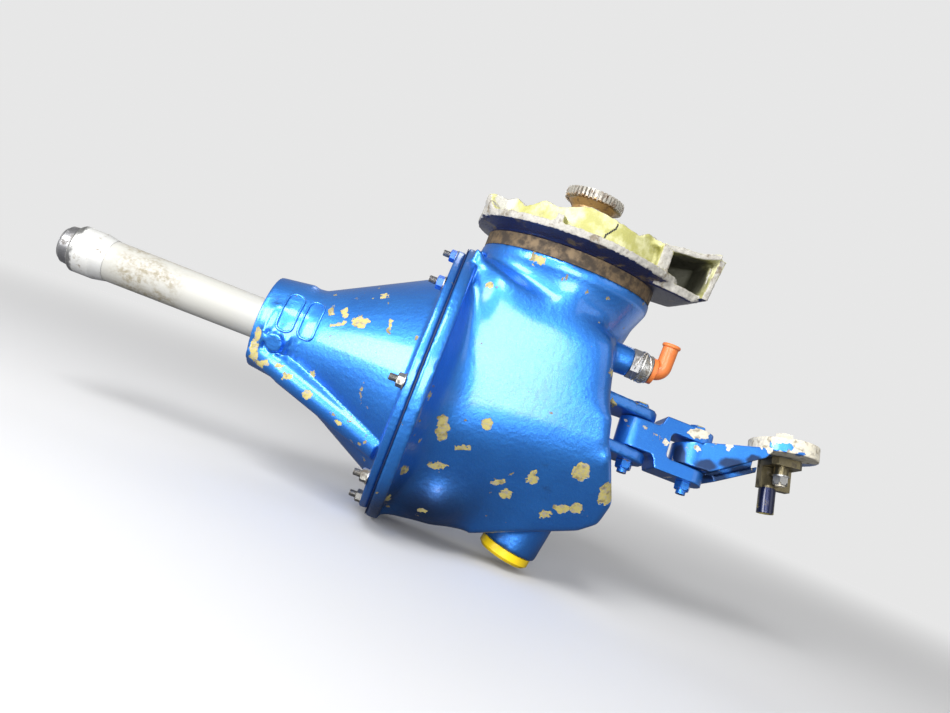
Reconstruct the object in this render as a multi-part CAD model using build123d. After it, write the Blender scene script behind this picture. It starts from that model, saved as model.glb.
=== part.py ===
"""Right-angle tail rotor gearbox with its output quill, in millimetres.

The origin is the centre of the gear case's mounting face, on the input axis.
+Z runs up the input axis to the splined coupling. The mast points along -X and
the pitch control lever stands off along +X. The two gear axes cross below the face.
"""
from build123d import *
from math import acos, cos, hypot, pi, radians, sin, tan
import os

# Clearances and fits
running_gap = 0.05           # radial gap between a turning piece and its seat
fit_gap = 0.02               # radial gap of a piece pressed or slid home
side_gap = 0.4               # axial gap between pieces that turn against each other
stud_hole_gap = 0.3          # radial gap of a stud in a flange's hole

# Gear axes and gears
flange_r = 140.0             # gear case flange on the mast axis
axis_drop = flange_r + 10.0  # mounting face to the crossing point of the gear axes
gear_teeth = 39
pinion_teeth = 15
gear_module = 4.0
gear_face = 24.0             # tooth length along the pitch cone
gear_backlash = 0.5
gear_web = 9.0               # metal behind the teeth of the output gear
pressure_angle = 20.0
shaft_bore_r = 9.0           # bore down the input shaft

# Output flange joint
flange_t = 12.0              # gear case flange
flange_step = 6.0            # the output flange is this much smaller all round
stud_inset = 6.0             # stud circle inside the output flange's rim
cone_inset = 29.0            # foot of the cone inside the output flange's rim
pilot_inset = 42.0           # spigot inside the gear case flange's rim
flange_x = -100.0            # joint face of the gear case
gasket_t = 0.8
stud_count = 8
stud_r = 3.175
stud_free_length = 14.0      # stud beyond the output flange
stud_set_length = 10.0       # stud screwed into the gear case
washer_r = 7.5
washer_t = 1.0
nut_flats = 11.1
nut_height = 6.0

# Output housing: flange, cone and sleeve
housing_flange_r = flange_r - flange_step
stud_circle_r = housing_flange_r - stud_inset
cone_base_r = housing_flange_r - cone_inset
housing_flange_t = 8.0
cone_tip_r = 50.0
cone_tip_x = -214.0
housing_wall = 7.0
pilot_r = flange_r - pilot_inset
sleeve_r = 46.0
sleeve_waist_r = 49.0
sleeve_mouth_x = -260.0
sleeve_bore_r = 35.0
hub_bore_r = 45.0            # seat of the ball bearing in the output housing
hub_wall = 7.0
hub_depth = 30.0
frame_height = 2.6           # raised casting frames on the sleeve
frame_band = 3.4
frame_sweep = 78.0           # degrees round the sleeve
frame_places = ((-241.0, 17.0), (-219.0, 15.0))   # middle and width of each frame
frame_turn = 14.0            # degrees that the frames sit below the side
sleeve_foot_x = -222.0       # where the sleeve meets the cone
bearing_stop_x = -200.0      # inner end of the sleeve's bore
passage_r = 13.0             # oil passage rib along the cone
passage_mouth = (-30.0, -26.0)   # its middle across and above the mast axis, at the sleeve
passage_foot = (-76.0, -66.0)    # and at the flange
passage_boss_r = 9.0
pilot_length = 5.0

# Mast
mast_r = 20.5
mast_bore_r = 11.0
mast_tip_x = -454.0
mast_seat_r = 27.0           # bearing and gear seat inside the housing
mast_end_x = -9.0
nose_length = 12.0
nose_r = 18.5
collar_r = 23.2
collar_length = 34.0
collar_taper = 12.0

# Bearings: ring sections and balls
outer_bearing_x = -246.0
outer_bearing_width = 20.0
ball_bearing_x = -92.0
ball_bearing_width = 22.0
ball_count = 12
roller_count = 14

# Gear case
case_half_width = 95.0
case_wall = 8.0
case_edge_r = 11.0           # corners seen from the broad side
case_side_r = 16.0           # where the broad sides turn under
case_rim_r = 9.0             # edges round the broad sides
case_slope_tilt = 8.0        # degrees that the lower edge of the broad faces rises
case_turn_drop = 35.0        # lower edge of the broad faces, below the mast axis at the flange
case_keel_half = 30.0        # half width of its underside
case_start_x = flange_x + 6.0    # where its walls leave the flange
case_end_x = 109.0           # furthest point of its end wall
case_floor_drop = 117.0      # below the mast axis
case_step = 22.0             # how far the broad sides step in towards the flange
case_step_r = 6.0
lug_root = 60.0              # depth of the lug plates in the end wall
blister_place = (-46.0, -44.0, -92.0)    # on the lower side, about the mast axis
blister_r = 33.0
neck_blister_place = (2.0, -92.0, -31.0)
neck_blister_r = 10.0
neck_r = 88.0
neck_band = 9.0              # plain rim above the neck's taper
neck_waist_r = 79.0
neck_bore_r = 50.0
case_top_z = 112.0           # above the mast axis

# Base ring of the broken support casting, above the mounting face
ring_outer_r = 87.0
ring_inner_r = ring_outer_r - 23.0

# Input quill
quill_flange_r = ring_inner_r - 3.0
quill_flange_t = 8.0
quill_depth = 52.0
quill_bore_r = 42.0
input_shaft_r = 17.0
input_seat_r = 22.0
input_top_z = 88.0
input_bearing_z = -46.0
input_bearing_width = 18.0
input_ball_z = -22.0
input_ball_width = 16.0

# Toothed coupling on the input shaft
coupling_z = 82.0
coupling_r = 30.5
coupling_face = 9.0
coupling_teeth = 42
coupling_hub_r = 20.0
coupling_hub_bottom = 16.0
coupling_tooth_depth = 3.0
coupling_crown_r = 16.0
snap_ring_t = 1.6


# Broken support casting
ring_height = 13.0
support_floor_t = 7.0
support_wall_inner_r = ring_outer_r - 11.0
support_wall_t = 7.0
skin_edge_r = ring_outer_r + 25.0
skin_rise = 9.0
skin_t = 7.5
support_stud_circle_r = ring_inner_r + 5.4
support_stud_set = 14.0      # screwed into the gear case's neck
support_stud_free = 12.0
support_stud_first = 22.5    # degrees
support_nut_flats = 10.9
support_top = 66.0

# Its torn edges: the top seen along Y as (x, z), the skin as (angle, inset from its edge),
# and the corner pocket from above as (x from the skin's edge, y)
torn_top = [
    (-96, 33), (-89, 39), (-78, 37), (-60, 43), (-50, 50), (-37, 46), (-11, 55), (12, 53),
    (41, 50), (50, 57), (62, 57), (79, 48), (97, 51), (110, 58), (123, 50), (129, 38),
]
torn_skin = [
    (-169, 9), (-144, 6), (-112, 6), (-85, 5.5), (-57, 6.6), (-31, 4.3), (0, 12), (35, 10),
    (73, 6.6), (106, 3.8), (141, 6.7),
]
pocket_outline = [(-46, -70), (-16, -64), (14, -50), (18, -6), (8, 12), (-40, 34)]
pocket_room = [(-36, -90), (-4, -90), (7, -48), (9, -8), (-28, 10)]
rib_angles = (150, 200, 100, 250)

# Control linkage, drawn about the lug pin with the pins upright
linkage_x = 122.0
linkage_rise = 27.0          # above the mast axis
linkage_tilt = -15.0         # degrees about X
lug_r = 18.0
lug_t = 12.0
lug_gap = 33.0
link_eye_t = lug_gap - 3.0
link_eye_r = 17.0
fork_x = 64.0                # fork pin from the lug pin
fork_r = 17.0
fork_height = 55.0
fork_slot = 27.0
fork_shoulder_x = 25.0
fork_slot_x = 34.0
fork_slot_r = 5.0
pin_r = 5.0
pin_head_t = 5.5
pin_nut_t = 8.0
pin_tail = 12.0              # pin beyond its nut's seat
lug_pin_flats = 15.0
fork_pin_flats = 14.3
bush_wall = 1.6
lever_hub_r = 21.0
lever_hub_t = 25.0
lever_left_top = 8.0         # top of the hub at its free end, under the fork's upper ear
lever_right_top = 31.0       # top of the arm where the eye begins
lever_band = 11.0            # depth of the arm's upper flange at the eye
lever_keel = 19.0            # lower flange below the fork pin's middle, next to the fork
lever_web_t = 9.0
lever_flange_t = 6.0
ear_clearance = 1.5          # round the fork's upper ear, inside the lever's flanges
eye_x = 158.0
eye_rise = 42.0
eye_tilt = 8.0               # degrees that the eye rises outwards
eye_r = 35.0
eye_t = 15.0
ball_r = 12.5                # spherical bearing in the eye
ball_height = eye_t + 4.0
bracket_width = 33.0
bracket_top_t = 8.0
bracket_height = 30.0
bracket_plate_t = 10.0
bracket_front = 15.0         # front edge of its top before the eye bolt
bracket_back = 19.0
eye_nut_flats = 14.3
eye_nut_height = 8.5
rod_r = 8.6
rod_length = 26.0
rod_neck = 1.0               # step at the tube's upper end
rod_bore_r = 6.0
rod_spigot = 12.0
rod_offset = (-7.6, 10.4)    # control rod from the eye bolt, along X and Y

# Fittings on the case
detector_z = 90.0            # above the mast axis
detector_y = -50.0
detector_boss_x = 80.0
detector_boss_r = 14.0
hex_flats = 25.0
hex_t = 8.0
adapter_r = 8.0              # thread of the detector's adapter
adapter_length = 20.0
knurl_r = 13.5
knurl_t = 11.0
knurl_teeth = 30
boot_r = 7.5
boot_flange_r = 12.5
boot_arm = 30.0
port_x = 44.0
port_tilt = 10.0
port_r = 30.0
port_bore_r = 21.0
port_depth = 60.0            # of the boss, up into the case
port_face_drop = case_floor_drop + 5.0   # below the mast axis
cap_r = 27.0
cap_height = 11.0
cap_wall = 2.2

# Pitch control rod inside the mast
pitch_rod_r = 8.0
pitch_rod_start_x = -436.0
pitch_rod_end_x = 66.0
guide_length = 22.0
guide_r = 17.0
guide_end_x = 90.0           # closed end of the guide, outside the end wall
guide_bush_x = -400.0        # bush that steadies the rod inside the mast
guide_bush_length = 20.0


def turned(points):
    """A solid of revolution about X on the mast axis, from (x, radius) points."""
    face = make_face(Plane.XZ * Polyline(*points, close=True))
    return Pos(0, 0, -axis_drop) * revolve(face, Axis.X)


def turned_up(points):
    """A solid of revolution about Z on the input axis, from (radius, z) points."""
    return revolve(make_face(Plane.XZ * Polyline(*points, close=True)), Axis.Z)


def ring_on_mast(inner_r, outer_r, x_start, x_end):
    return turned([(x_start, inner_r), (x_end, inner_r), (x_end, outer_r), (x_start, outer_r)])


def ring_on_input(inner_r, outer_r, z_start, z_end):
    return turned_up([(inner_r, z_start), (outer_r, z_start), (outer_r, z_end), (inner_r, z_end)])


def raised(face, height):
    """A flat face drawn in XY, extruded towards +Z whichever way it was drawn."""
    return extrude(face, height, dir=(0, 0, 1))


def rod_between(start, end, radius):
    """A plain round rod from one point to another."""
    line = Vector(*end) - Vector(*start)
    return extrude(Plane(origin=start, z_dir=line) * Circle(radius), line.length)


def hex_nut(flats, height, hole_r, slots=0):
    """A hexagon nut standing on its seat at z = 0, castellated if it has slots."""
    nut = extrude(RegularPolygon(flats / 2, 6, major_radius=False) - Circle(hole_r), height)
    corner_r = flats / (2 * cos(radians(30)))
    nut &= turned_up([(0, 0), (corner_r, 0), (corner_r, height - 0.07 * flats),
                      (0.46 * flats, height), (0, height)])
    for turn in range(slots):
        slot = Pos(0, 0, height) * Box(flats * 1.3, flats * 0.16, height * 0.6)
        nut -= Rot(0, 0, 180 * turn / slots) * slot
    return nut


def on_mast_circle(piece, x, radius, count, first=0.0):
    """Copies of a piece that points along +Z, turned to -X and set on a circle."""
    copies = []
    for turn in range(count):
        angle = radians(first + 360 * turn / count)
        spot = Pos(x, -radius * cos(angle), radius * sin(angle) - axis_drop)
        copies.append(spot * Rot(0, -90, 0) * piece)
    return copies


def on_input_circle(piece, z, radius, count, first=0.0):
    copies = []
    for turn in range(count):
        angle = radians(first + 360 * turn / count)
        copies.append(Pos(radius * cos(angle), radius * sin(angle), z) * piece)
    return copies


def on_support_circle(piece, z):
    """Copies of a piece on the stud circle above the mounting face."""
    return on_input_circle(piece, z, support_stud_circle_r, stud_count, support_stud_first)


def in_linkage(piece):
    """Place a piece that is drawn about the lug pin, pins upright."""
    return Pos(linkage_x, 0, linkage_rise - axis_drop) * Rot(linkage_tilt, 0, 0) * piece


# Bevel gears

def involute(angle):
    return tan(angle) - angle


class BevelGear:
    """One straight bevel gear, apex at the origin, opening along +Z."""

    def __init__(self, teeth, mate_teeth):
        self.teeth = teeth
        self.r = gear_module * teeth / 2
        self.depth = gear_module * mate_teeth / 2
        self.cone = hypot(self.r, self.depth)
        self.tip = 0.9 * gear_module
        self.root = 1.1 * gear_module
        self.inner = (self.cone - gear_face) / self.cone

    def half_angle(self, rho, back_r, virtual_teeth):
        """Half the tooth's angle at a radius of the flattened back cone."""
        base_r = back_r * cos(radians(pressure_angle))
        rho = max(rho, base_r)
        at_pitch = pi / (2 * virtual_teeth) - gear_backlash / (2 * back_r)
        return at_pitch + involute(radians(pressure_angle)) - involute(acos(base_r / rho))

    def profile(self, scale):
        """The tooth's outline on the back cone, scaled towards the apex."""
        back_r = self.r * self.cone / self.depth
        virtual_teeth = self.teeth * self.cone / self.depth
        heights = (-self.root - 0.8, 0.0, self.tip)
        side = []
        for height in heights:
            rho = back_r + height
            angle = self.half_angle(rho, back_r, virtual_teeth)
            side.append((rho * cos(angle) - back_r, rho * sin(angle)))
        outline = side + [(rise, -wide) for rise, wide in reversed(side)]
        points = []
        for rise, wide in outline:
            x = self.r + rise * self.depth / self.cone
            z = self.depth - rise * self.r / self.cone
            points.append((x * scale, wide * scale, z * scale))
        return make_face(Polyline(*points, close=True))

    def root_point(self, scale):
        x = self.r - self.root * self.depth / self.cone
        z = self.depth + self.root * self.r / self.cone
        return x * scale, z * scale

    def solid(self, bore_r, back):
        """Teeth on a blank whose back is a list of (radius, z) points."""
        heel_r, heel_z = self.root_point(1.0)
        toe_r, toe_z = self.root_point(self.inner)
        blank = turned_up([(bore_r, toe_z), (toe_r, toe_z), (heel_r, heel_z)] + back)
        tooth = loft([self.profile(1.0), self.profile(self.inner)], ruled=True)
        teeth = [Rot(0, 0, 360 * turn / self.teeth) * tooth for turn in range(self.teeth)]
        return blank + teeth


output_gear_shape = BevelGear(gear_teeth, pinion_teeth)
pinion_shape = BevelGear(pinion_teeth, gear_teeth)
gear_back_z = output_gear_shape.root_point(1.0)[1] + gear_web
gear_toe_z = output_gear_shape.root_point(output_gear_shape.inner)[1]


def make_output_gear():
    heel_r, heel_z = output_gear_shape.root_point(1.0)
    bore_r = mast_seat_r + fit_gap
    back = [(heel_r, heel_z + 4), (heel_r - 8, gear_back_z), (bore_r, gear_back_z)]
    gear = output_gear_shape.solid(bore_r, back)
    return Pos(0, 0, -axis_drop) * Rot(0, -90, 0) * gear


def make_pinion_shaft():
    """Pinion and input shaft in one forging, stepped for bearings, nut and coupling."""
    heel_r, heel_z = pinion_shape.root_point(1.0)
    top = input_top_z + axis_drop
    seat_top = input_ball_z + input_ball_width + 10 + axis_drop
    back = [
        (heel_r, heel_z + 4), (input_seat_r, heel_z + gear_web), (input_seat_r, seat_top),
        (input_shaft_r, seat_top), (input_shaft_r, top), (shaft_bore_r, top), (shaft_bore_r, heel_z),
        (1.0, heel_z - 8),
    ]
    pinion = pinion_shape.solid(1.0, back)
    core = turned_up([(0, heel_z - 20), (3, heel_z - 20), (3, heel_z - 9), (0, heel_z - 9)])
    return Pos(0, 0, -axis_drop) * (pinion + core)


# Bearings

def bearing_radii(bore_r, seat_r):
    """Inner ring top, outer ring bottom and rolling radius between two seats."""
    section = seat_r - bore_r
    rolling_r = section * 0.25
    middle = (seat_r + bore_r) / 2
    return middle, rolling_r


def roller_bearing(bore_r, seat_r, width):
    """Outer ring, inner ring and rollers about Z, resting on z = 0."""
    middle, rolling_r = bearing_radii(bore_r, seat_r)
    outer = ring_on_input(middle + rolling_r + running_gap, seat_r - fit_gap, 0, width)
    inner = ring_on_input(bore_r + fit_gap, middle - rolling_r - fit_gap, 0, width)
    roller = Pos(0, 0, 2) * extrude(Circle(rolling_r), width - 4)
    rollers = on_input_circle(roller, 0, middle, roller_count)
    return outer, inner, rollers


def ball_bearing(bore_r, seat_r, width):
    """Outer ring and inner ring with round grooves, and the balls between them."""
    middle, ball_r = bearing_radii(bore_r, seat_r)
    land = ball_r * 0.45
    groove = Pos(0, 0, width / 2) * Torus(middle, ball_r + running_gap)
    outer = ring_on_input(middle + land, seat_r - fit_gap, 0, width) - groove
    inner = ring_on_input(bore_r + fit_gap, middle - land, 0, width) - groove
    balls = on_input_circle(Pos(0, 0, width / 2) * Sphere(ball_r), 0, middle, ball_count)
    return outer, inner, balls


def at_mast(piece, x):
    """Lay a bearing piece that rests on z = 0 about the mast axis, from x towards +X."""
    return Pos(x, 0, -axis_drop) * Rot(0, 90, 0) * piece


# Castings

def make_case_outline(inset):
    """The case's broad side as seen along Y, inset for the hollow, on the mast axis."""
    start, end, top, floor = case_start_x, case_end_x, case_top_z, -case_floor_drop
    corners = [
        (start, top + 22), (start + 22, top + 15), (-20, top), (end - 53, top - 5), (end - 29, 14),
        (end, -38), (end - 2, -62), (end - 17, -76), (0, floor), (start + 27, floor - 11),
        (start, floor - 14),
    ]
    face = make_face(Plane.XZ * Polyline(*corners, close=True))
    if inset:
        face = offset(face, -inset, kind=Kind.INTERSECTION)
    else:
        face = fillet(face.vertices().filter_by(lambda corner: corner.X > start + 1), case_edge_r)
    return extrude(face, 2 * case_half_width, both=True)


def make_case_section(inset):
    """The case's end section: broad flat sides that slope in below the mast."""
    wide, tall = case_half_width, 2 * case_top_z
    keel_z = -case_turn_drop - case_floor_drop
    corners = [(-wide, -case_turn_drop), (4 - wide, tall), (wide - 4, tall), (wide, -case_turn_drop),
               (case_keel_half, keel_z), (-case_keel_half, keel_z)]
    face = make_face(Plane.YZ * Polyline(*corners, close=True))
    if inset:
        face = offset(face, -inset, kind=Kind.INTERSECTION)
    else:
        face = fillet(face.vertices().filter_by(lambda corner: corner.Z < 0), case_side_r)
    prism = extrude(face, 4 * case_end_x, dir=(1, 0, 0))
    return Pos(1.5 * flange_x, 0, 0) * Rot(0, -case_slope_tilt, 0) * prism


def make_case_plan(inset):
    """The case seen from above: its broad sides step in towards the flange."""
    wide = case_half_width + 1 - inset
    narrow = wide - case_step
    start, far = case_start_x, 2 * case_end_x
    corners = [
        (start, narrow - 2), (start + 14, narrow), (start + 28, wide), (far, wide), (far, -wide),
        (start + 28, -wide), (start + 14, -narrow), (start, 2 - narrow),
    ]
    face = make_face(Polyline(*corners, close=True))
    steps = face.vertices().filter_by(lambda corner: start < corner.X < 0)
    return Pos(0, 0, -far) * raised(fillet(steps, case_step_r), 2 * far)


def make_case_body():
    body = make_case_outline(0) & make_case_section(0)
    rim = body.edges().filter_by(lambda edge: abs(edge.center().Y) > case_keel_half - 10)
    return Pos(0, 0, -axis_drop) * (fillet(rim, case_rim_r) & make_case_plan(0))


def make_case_hollow():
    hollow = make_case_outline(case_wall) & make_case_section(case_wall) & make_case_plan(case_wall)
    room = Box(2 * case_end_x, 2 * flange_r, 2 * flange_r, align=(Align.MIN, Align.CENTER, Align.CENTER))
    hollow = hollow & Pos(flange_x + flange_t + 4, 0, 0) * room
    depth = flange_t + 8
    mouth = Rot(0, 90, 0) * Cylinder(pilot_r, depth)
    return Pos(0, 0, -axis_drop) * (hollow + Pos(flange_x + depth / 2 - 1, 0, 0) * mouth)


def make_neck():
    waist_z = case_top_z - axis_drop + 4
    points = [
        (0, waist_z - 30), (neck_waist_r - 6, waist_z - 30), (neck_waist_r, waist_z),
        (neck_waist_r + 1, waist_z + 6), (neck_r, -neck_band), (neck_r, 0), (0, 0),
    ]
    return turned_up(points)


def make_lug(side):
    """One lug plate of the pair that holds the idler link, rooted in the end wall."""
    root = [(-lug_root, -lug_root / 2), (0, -lug_r), (0, lug_r), (-lug_root, lug_root / 2)]
    plate = make_face(Polyline(*root, close=True)) + Circle(lug_r)
    plate -= Circle(pin_r + bush_wall)
    z_low = lug_gap / 2 if side > 0 else -lug_gap / 2 - lug_t
    return in_linkage(Pos(0, 0, z_low) * raised(plate, lug_t))


def standing(radius, height):
    """A plain cylinder that stands on z = 0."""
    return extrude(Circle(radius), height)


def port_place():
    return Pos(port_x, 0, -axis_drop - port_face_drop) * Rot(0, port_tilt, 0)


def make_gear_case():
    disc = turned([(flange_x, 0), (flange_x + flange_t, 0), (flange_x + flange_t, flange_r),
                   (flange_x, flange_r)])
    web_x, rim_r = case_start_x + 24, flange_r - 9
    web = turned([(flange_x + 2, 0), (web_x, 0), (web_x, flange_r - 46), (flange_x + flange_t, rim_r),
                  (flange_x + 2, rim_r)])
    case = make_case_body() + disc + web + make_neck()
    case += [make_lug(1), make_lug(-1)]
    boss_start = (case_end_x - 79, detector_y, detector_z - axis_drop)
    boss_end = (detector_boss_x, detector_y, detector_z - axis_drop)
    case += rod_between(boss_start, boss_end, detector_boss_r)
    port = port_place()
    case += port * standing(port_r, port_depth)
    case += Pos(0, 0, -axis_drop) * Pos(*blister_place) * Sphere(blister_r)
    x, y, z = neck_blister_place
    case += rod_between((x, y + 2 * neck_blister_r, z), (x, y, z), neck_blister_r)
    case -= make_case_hollow()
    case -= ring_on_input(0, neck_bore_r, case_top_z - axis_drop - case_wall - 14, 1)
    case -= port * Pos(0, 0, -1) * standing(port_bore_r, port_depth - 15)
    case -= detector_place() * Pos(0, 0, 1) * Rot(180, 0, 0) * standing(adapter_r, detector_boss_r * 3.5)
    case += rod_between((pitch_rod_end_x - guide_length, 0, -axis_drop), (guide_end_x, 0, -axis_drop),
                        guide_r)
    case -= rod_between((0, 0, -axis_drop), (pitch_rod_end_x + 16, 0, -axis_drop),
                        pitch_rod_r + running_gap)
    hole = extrude(Circle(stud_r + fit_gap), stud_set_length)
    case -= on_mast_circle(hole, flange_x + stud_set_length, stud_circle_r, stud_count)
    neck_hole = extrude(Circle(stud_r + fit_gap), support_stud_set)
    case -= on_support_circle(neck_hole, -support_stud_set)
    return case


def sleeve_frame(x_middle, width):
    """A raised cast frame wrapped round the sleeve, an outer band with its window cut out."""
    outer_r = sleeve_waist_r + frame_height
    half, window_half = width / 2, width / 2 - frame_band
    band = ring_on_mast(sleeve_r - 4, outer_r, x_middle - half, x_middle + half)
    window = ring_on_mast(sleeve_r - 5, outer_r + 1, x_middle - window_half, x_middle + window_half)
    frame = band & mast_wedge(frame_sweep)
    return frame - (window & mast_wedge(frame_sweep - 4 * frame_band))


def mast_wedge(sweep):
    """A wedge about the mast axis, centred on the side that faces -Y."""
    half = radians(sweep / 2)
    reach = 2 * sleeve_waist_r
    tip = [(0, 0), (-reach * cos(half), reach * sin(half)), (-1.2 * reach, 0),
           (-reach * cos(half), -reach * sin(half))]
    wedge = extrude(make_face(Plane.YZ * Polyline(*tip, close=True)), 2 * reach, dir=(1, 0, 0))
    return Pos(sleeve_mouth_x - reach / 2, 0, -axis_drop) * Rot(frame_turn, 0, 0) * wedge


def make_output_housing():
    x0 = flange_x - gasket_t
    x1 = x0 - housing_flange_t
    pilot_x, hub_x = x0 + pilot_length, x0 + hub_depth
    hub_r = hub_bore_r + hub_wall
    outer = [
        (sleeve_mouth_x, 0), (sleeve_mouth_x, sleeve_r), (sleeve_foot_x - 6, sleeve_waist_r + 1.5),
        (sleeve_foot_x, sleeve_waist_r), (cone_tip_x, cone_tip_r), (x1 - 2, cone_base_r),
        (x1, cone_base_r + 4), (x1, housing_flange_r), (x0, housing_flange_r),
        (x0, pilot_r - fit_gap), (pilot_x, pilot_r - fit_gap), (pilot_x, pilot_r - 28),
        (hub_x, hub_r), (hub_x, 0),
    ]
    housing = turned(outer)
    housing += [sleeve_frame(*place) for place in frame_places]
    (y, z), (foot_y, foot_z) = passage_mouth, passage_foot
    housing += rod_between((sleeve_mouth_x + 6, y, z - axis_drop), (x1, foot_y, foot_z - axis_drop),
                           passage_r)
    housing += rod_between((sleeve_mouth_x + 30, y, -axis_drop - 8),
                           (sleeve_mouth_x + 24, -sleeve_r - 6.5, -axis_drop - 14), passage_boss_r)
    wall_r = cone_base_r - housing_wall
    hollow = [
        (x0 - 2, hub_r), (x0 - 2, wall_r - 12), (x1, wall_r - 1), (cone_tip_x, cone_tip_r - housing_wall),
        (sleeve_foot_x, sleeve_bore_r), (sleeve_foot_x, 0), (x0 - 6, 0), (x0 - 6, hub_r),
    ]
    housing -= turned(hollow)
    housing -= ring_on_mast(0, sleeve_bore_r, sleeve_mouth_x - 1, bearing_stop_x)
    housing -= ring_on_mast(0, hub_bore_r, x0 - 20, hub_x + 1)
    hole = extrude(Circle(stud_r + stud_hole_gap), housing_flange_t + 2)
    housing -= on_mast_circle(hole, x0 + 1, stud_circle_r, stud_count)
    return housing


def rim_profile():
    """What is kept of the broken casting, seen along Y: flat below, torn along the top."""
    (left, left_z), (right, right_z) = torn_top[0], torn_top[-1]
    low, skin_top = ring_height - 18, ring_height + skin_rise + skin_t
    ends = Polyline((right, right_z), (right, skin_top - skin_t), (skin_edge_r, ring_height),
                    (skin_edge_r, low), (-skin_edge_r - 6, low), (-skin_edge_r - 6, skin_top),
                    (left, left_z))
    face = make_face(Plane.XZ * (Polyline(*torn_top) + ends))
    return extrude(face, 2 * skin_edge_r, both=True)


def make_support_casting():
    """The torn piece of the fin support: floor, inner wall, flared skin and corner pocket."""
    base = ring_height
    wall_outer_r = support_wall_inner_r + support_wall_t
    floor = ring_on_input(ring_inner_r, wall_outer_r + 1, base, base + support_floor_t)
    wall = ring_on_input(support_wall_inner_r, wall_outer_r, base, support_top)
    rise = skin_rise
    skin = turned_up([
        (wall_outer_r - 2, base), (ring_outer_r - 1, base), (skin_edge_r, base + rise),
        (skin_edge_r - 2, base + rise + skin_t), (wall_outer_r - 2, base + skin_t + 1),
    ])
    edge = [((skin_edge_r - inset) * cos(radians(angle)), (skin_edge_r - inset) * sin(radians(angle)))
            for angle, inset in torn_skin]
    skin &= raised(make_face(Spline(*edge, periodic=True)), support_top)
    casting = floor + wall + skin
    casting += pocket_walls(base)
    casting += rib_stumps(base)
    casting &= rim_profile()
    hole = extrude(Circle(stud_r + stud_hole_gap), support_top)
    casting -= on_support_circle(hole, base - 1)
    return casting - ring_on_input(0, ring_inner_r, -1, support_top + 1)


def pocket_walls(base):
    """The box corner of the casting, open to the front where the skin has torn away."""
    corner = Pos(skin_edge_r, 0, base)
    block = corner * raised(make_face(Polyline(*pocket_outline, close=True)), support_top)
    room = raised(make_face(Polyline(*pocket_room, close=True)), support_top)
    cut = corner * Pos(0, 0, skin_t + 2) * room
    pillar = ring_on_input(0, support_wall_inner_r, base - 1, 2 * support_top)
    return block - cut - pillar


def rib_stumps(base):
    """Stubs of the ribs that tied the skin to the inner wall."""
    height = 22
    reach = skin_edge_r - support_wall_inner_r - support_wall_t
    stub = Pos(support_wall_inner_r + reach / 2, 0, base + height / 2) * Box(reach, skin_t, height)
    return [Rot(0, 0, angle) * stub for angle in rib_angles]


# Fasteners and small pieces

def pointed_stud(length):
    """A stud that stands on z = 0, with a chamfered upper end."""
    stud = extrude(Circle(stud_r), length)
    return chamfer(stud.edges().group_by(Axis.Z)[-1], 0.7)


def make_flange_fasteners():
    x = flange_x - gasket_t - housing_flange_t
    length = stud_set_length + gasket_t + housing_flange_t + stud_free_length
    stud = pointed_stud(length)
    studs = on_mast_circle(stud, flange_x + stud_set_length, stud_circle_r, stud_count)
    washer = extrude(Circle(washer_r) - Circle(stud_r + fit_gap), washer_t)
    washers = on_mast_circle(washer, x, stud_circle_r, stud_count)
    nut = hex_nut(nut_flats, nut_height, stud_r + fit_gap)
    nuts = on_mast_circle(nut, x - washer_t, stud_circle_r, stud_count)
    return studs, washers, nuts


def make_support_fasteners():
    top = ring_height + support_floor_t
    stud = pointed_stud(support_stud_set + top + support_stud_free)
    nut = hex_nut(support_nut_flats, nut_height, stud_r + fit_gap)
    return on_support_circle(stud, -support_stud_set), on_support_circle(nut, top)


def pin_with_nut(length, flats):
    """A headed pin down -Z with its castellated nut, head seated at z = 0."""
    pin = Pos(0, 0, -length - pin_tail) * standing(pin_r - running_gap, length + pin_tail)
    pin += extrude(RegularPolygon(flats / 2, 6, major_radius=False), pin_head_t)
    nut = hex_nut(flats, pin_nut_t, pin_r - running_gap + fit_gap, 3)
    return pin, Pos(0, 0, -length) * Rot(180, 0, 0) * nut


def bush(length, z_start):
    ring = Circle(pin_r + bush_wall - fit_gap) - Circle(pin_r)
    return Pos(0, 0, z_start) * extrude(ring, length)


# Linkage, drawn about the lug pin

def make_idler_link():
    """Forged link: an eye between the case lugs and a deep fork for the lever."""
    plan = make_face(Polyline((0, -link_eye_r), (fork_x, -fork_r), (fork_x, fork_r), (0, link_eye_r),
                              close=True))
    plan += Circle(link_eye_r)
    plan += Pos(fork_x, 0) * Circle(fork_r)
    tall = fork_height / 2
    body = Pos(0, 0, -tall) * raised(plan, 2 * tall)
    half_eye = link_eye_t / 2
    for side in (1, -1):
        neck = [(-40, half_eye), (lug_r + 1, half_eye + 0.5), (lug_r + 4, half_eye + 4),
                (fork_shoulder_x, tall), (fork_shoulder_x, tall + 5), (-40, tall + 5)]
        neck = [(x, side * z) for x, z in neck]
        body -= extrude(make_face(Plane.XZ * Polyline(*neck, close=True)), 40, both=True)
    slot = make_face(Plane.XZ * Polyline(
        (fork_slot_x, -fork_slot / 2), (fork_x + 40, -fork_slot / 2),
        (fork_x + 40, fork_slot / 2), (fork_slot_x, fork_slot / 2), close=True))
    corners = slot.vertices().sort_by(Axis.X)[:2]
    body -= extrude(fillet(corners, fork_slot_r), 4 * fork_r, both=True)
    hole = Cylinder(pin_r + bush_wall, 2 * fork_height)
    return body - hole - Pos(fork_x, 0, 0) * hole


def at_eye(piece):
    """Place a piece that is drawn about the eye's centre, its bolt upright."""
    return Pos(eye_x, 0, eye_rise) * Rot(0, -eye_tilt, 0) * piece


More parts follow.
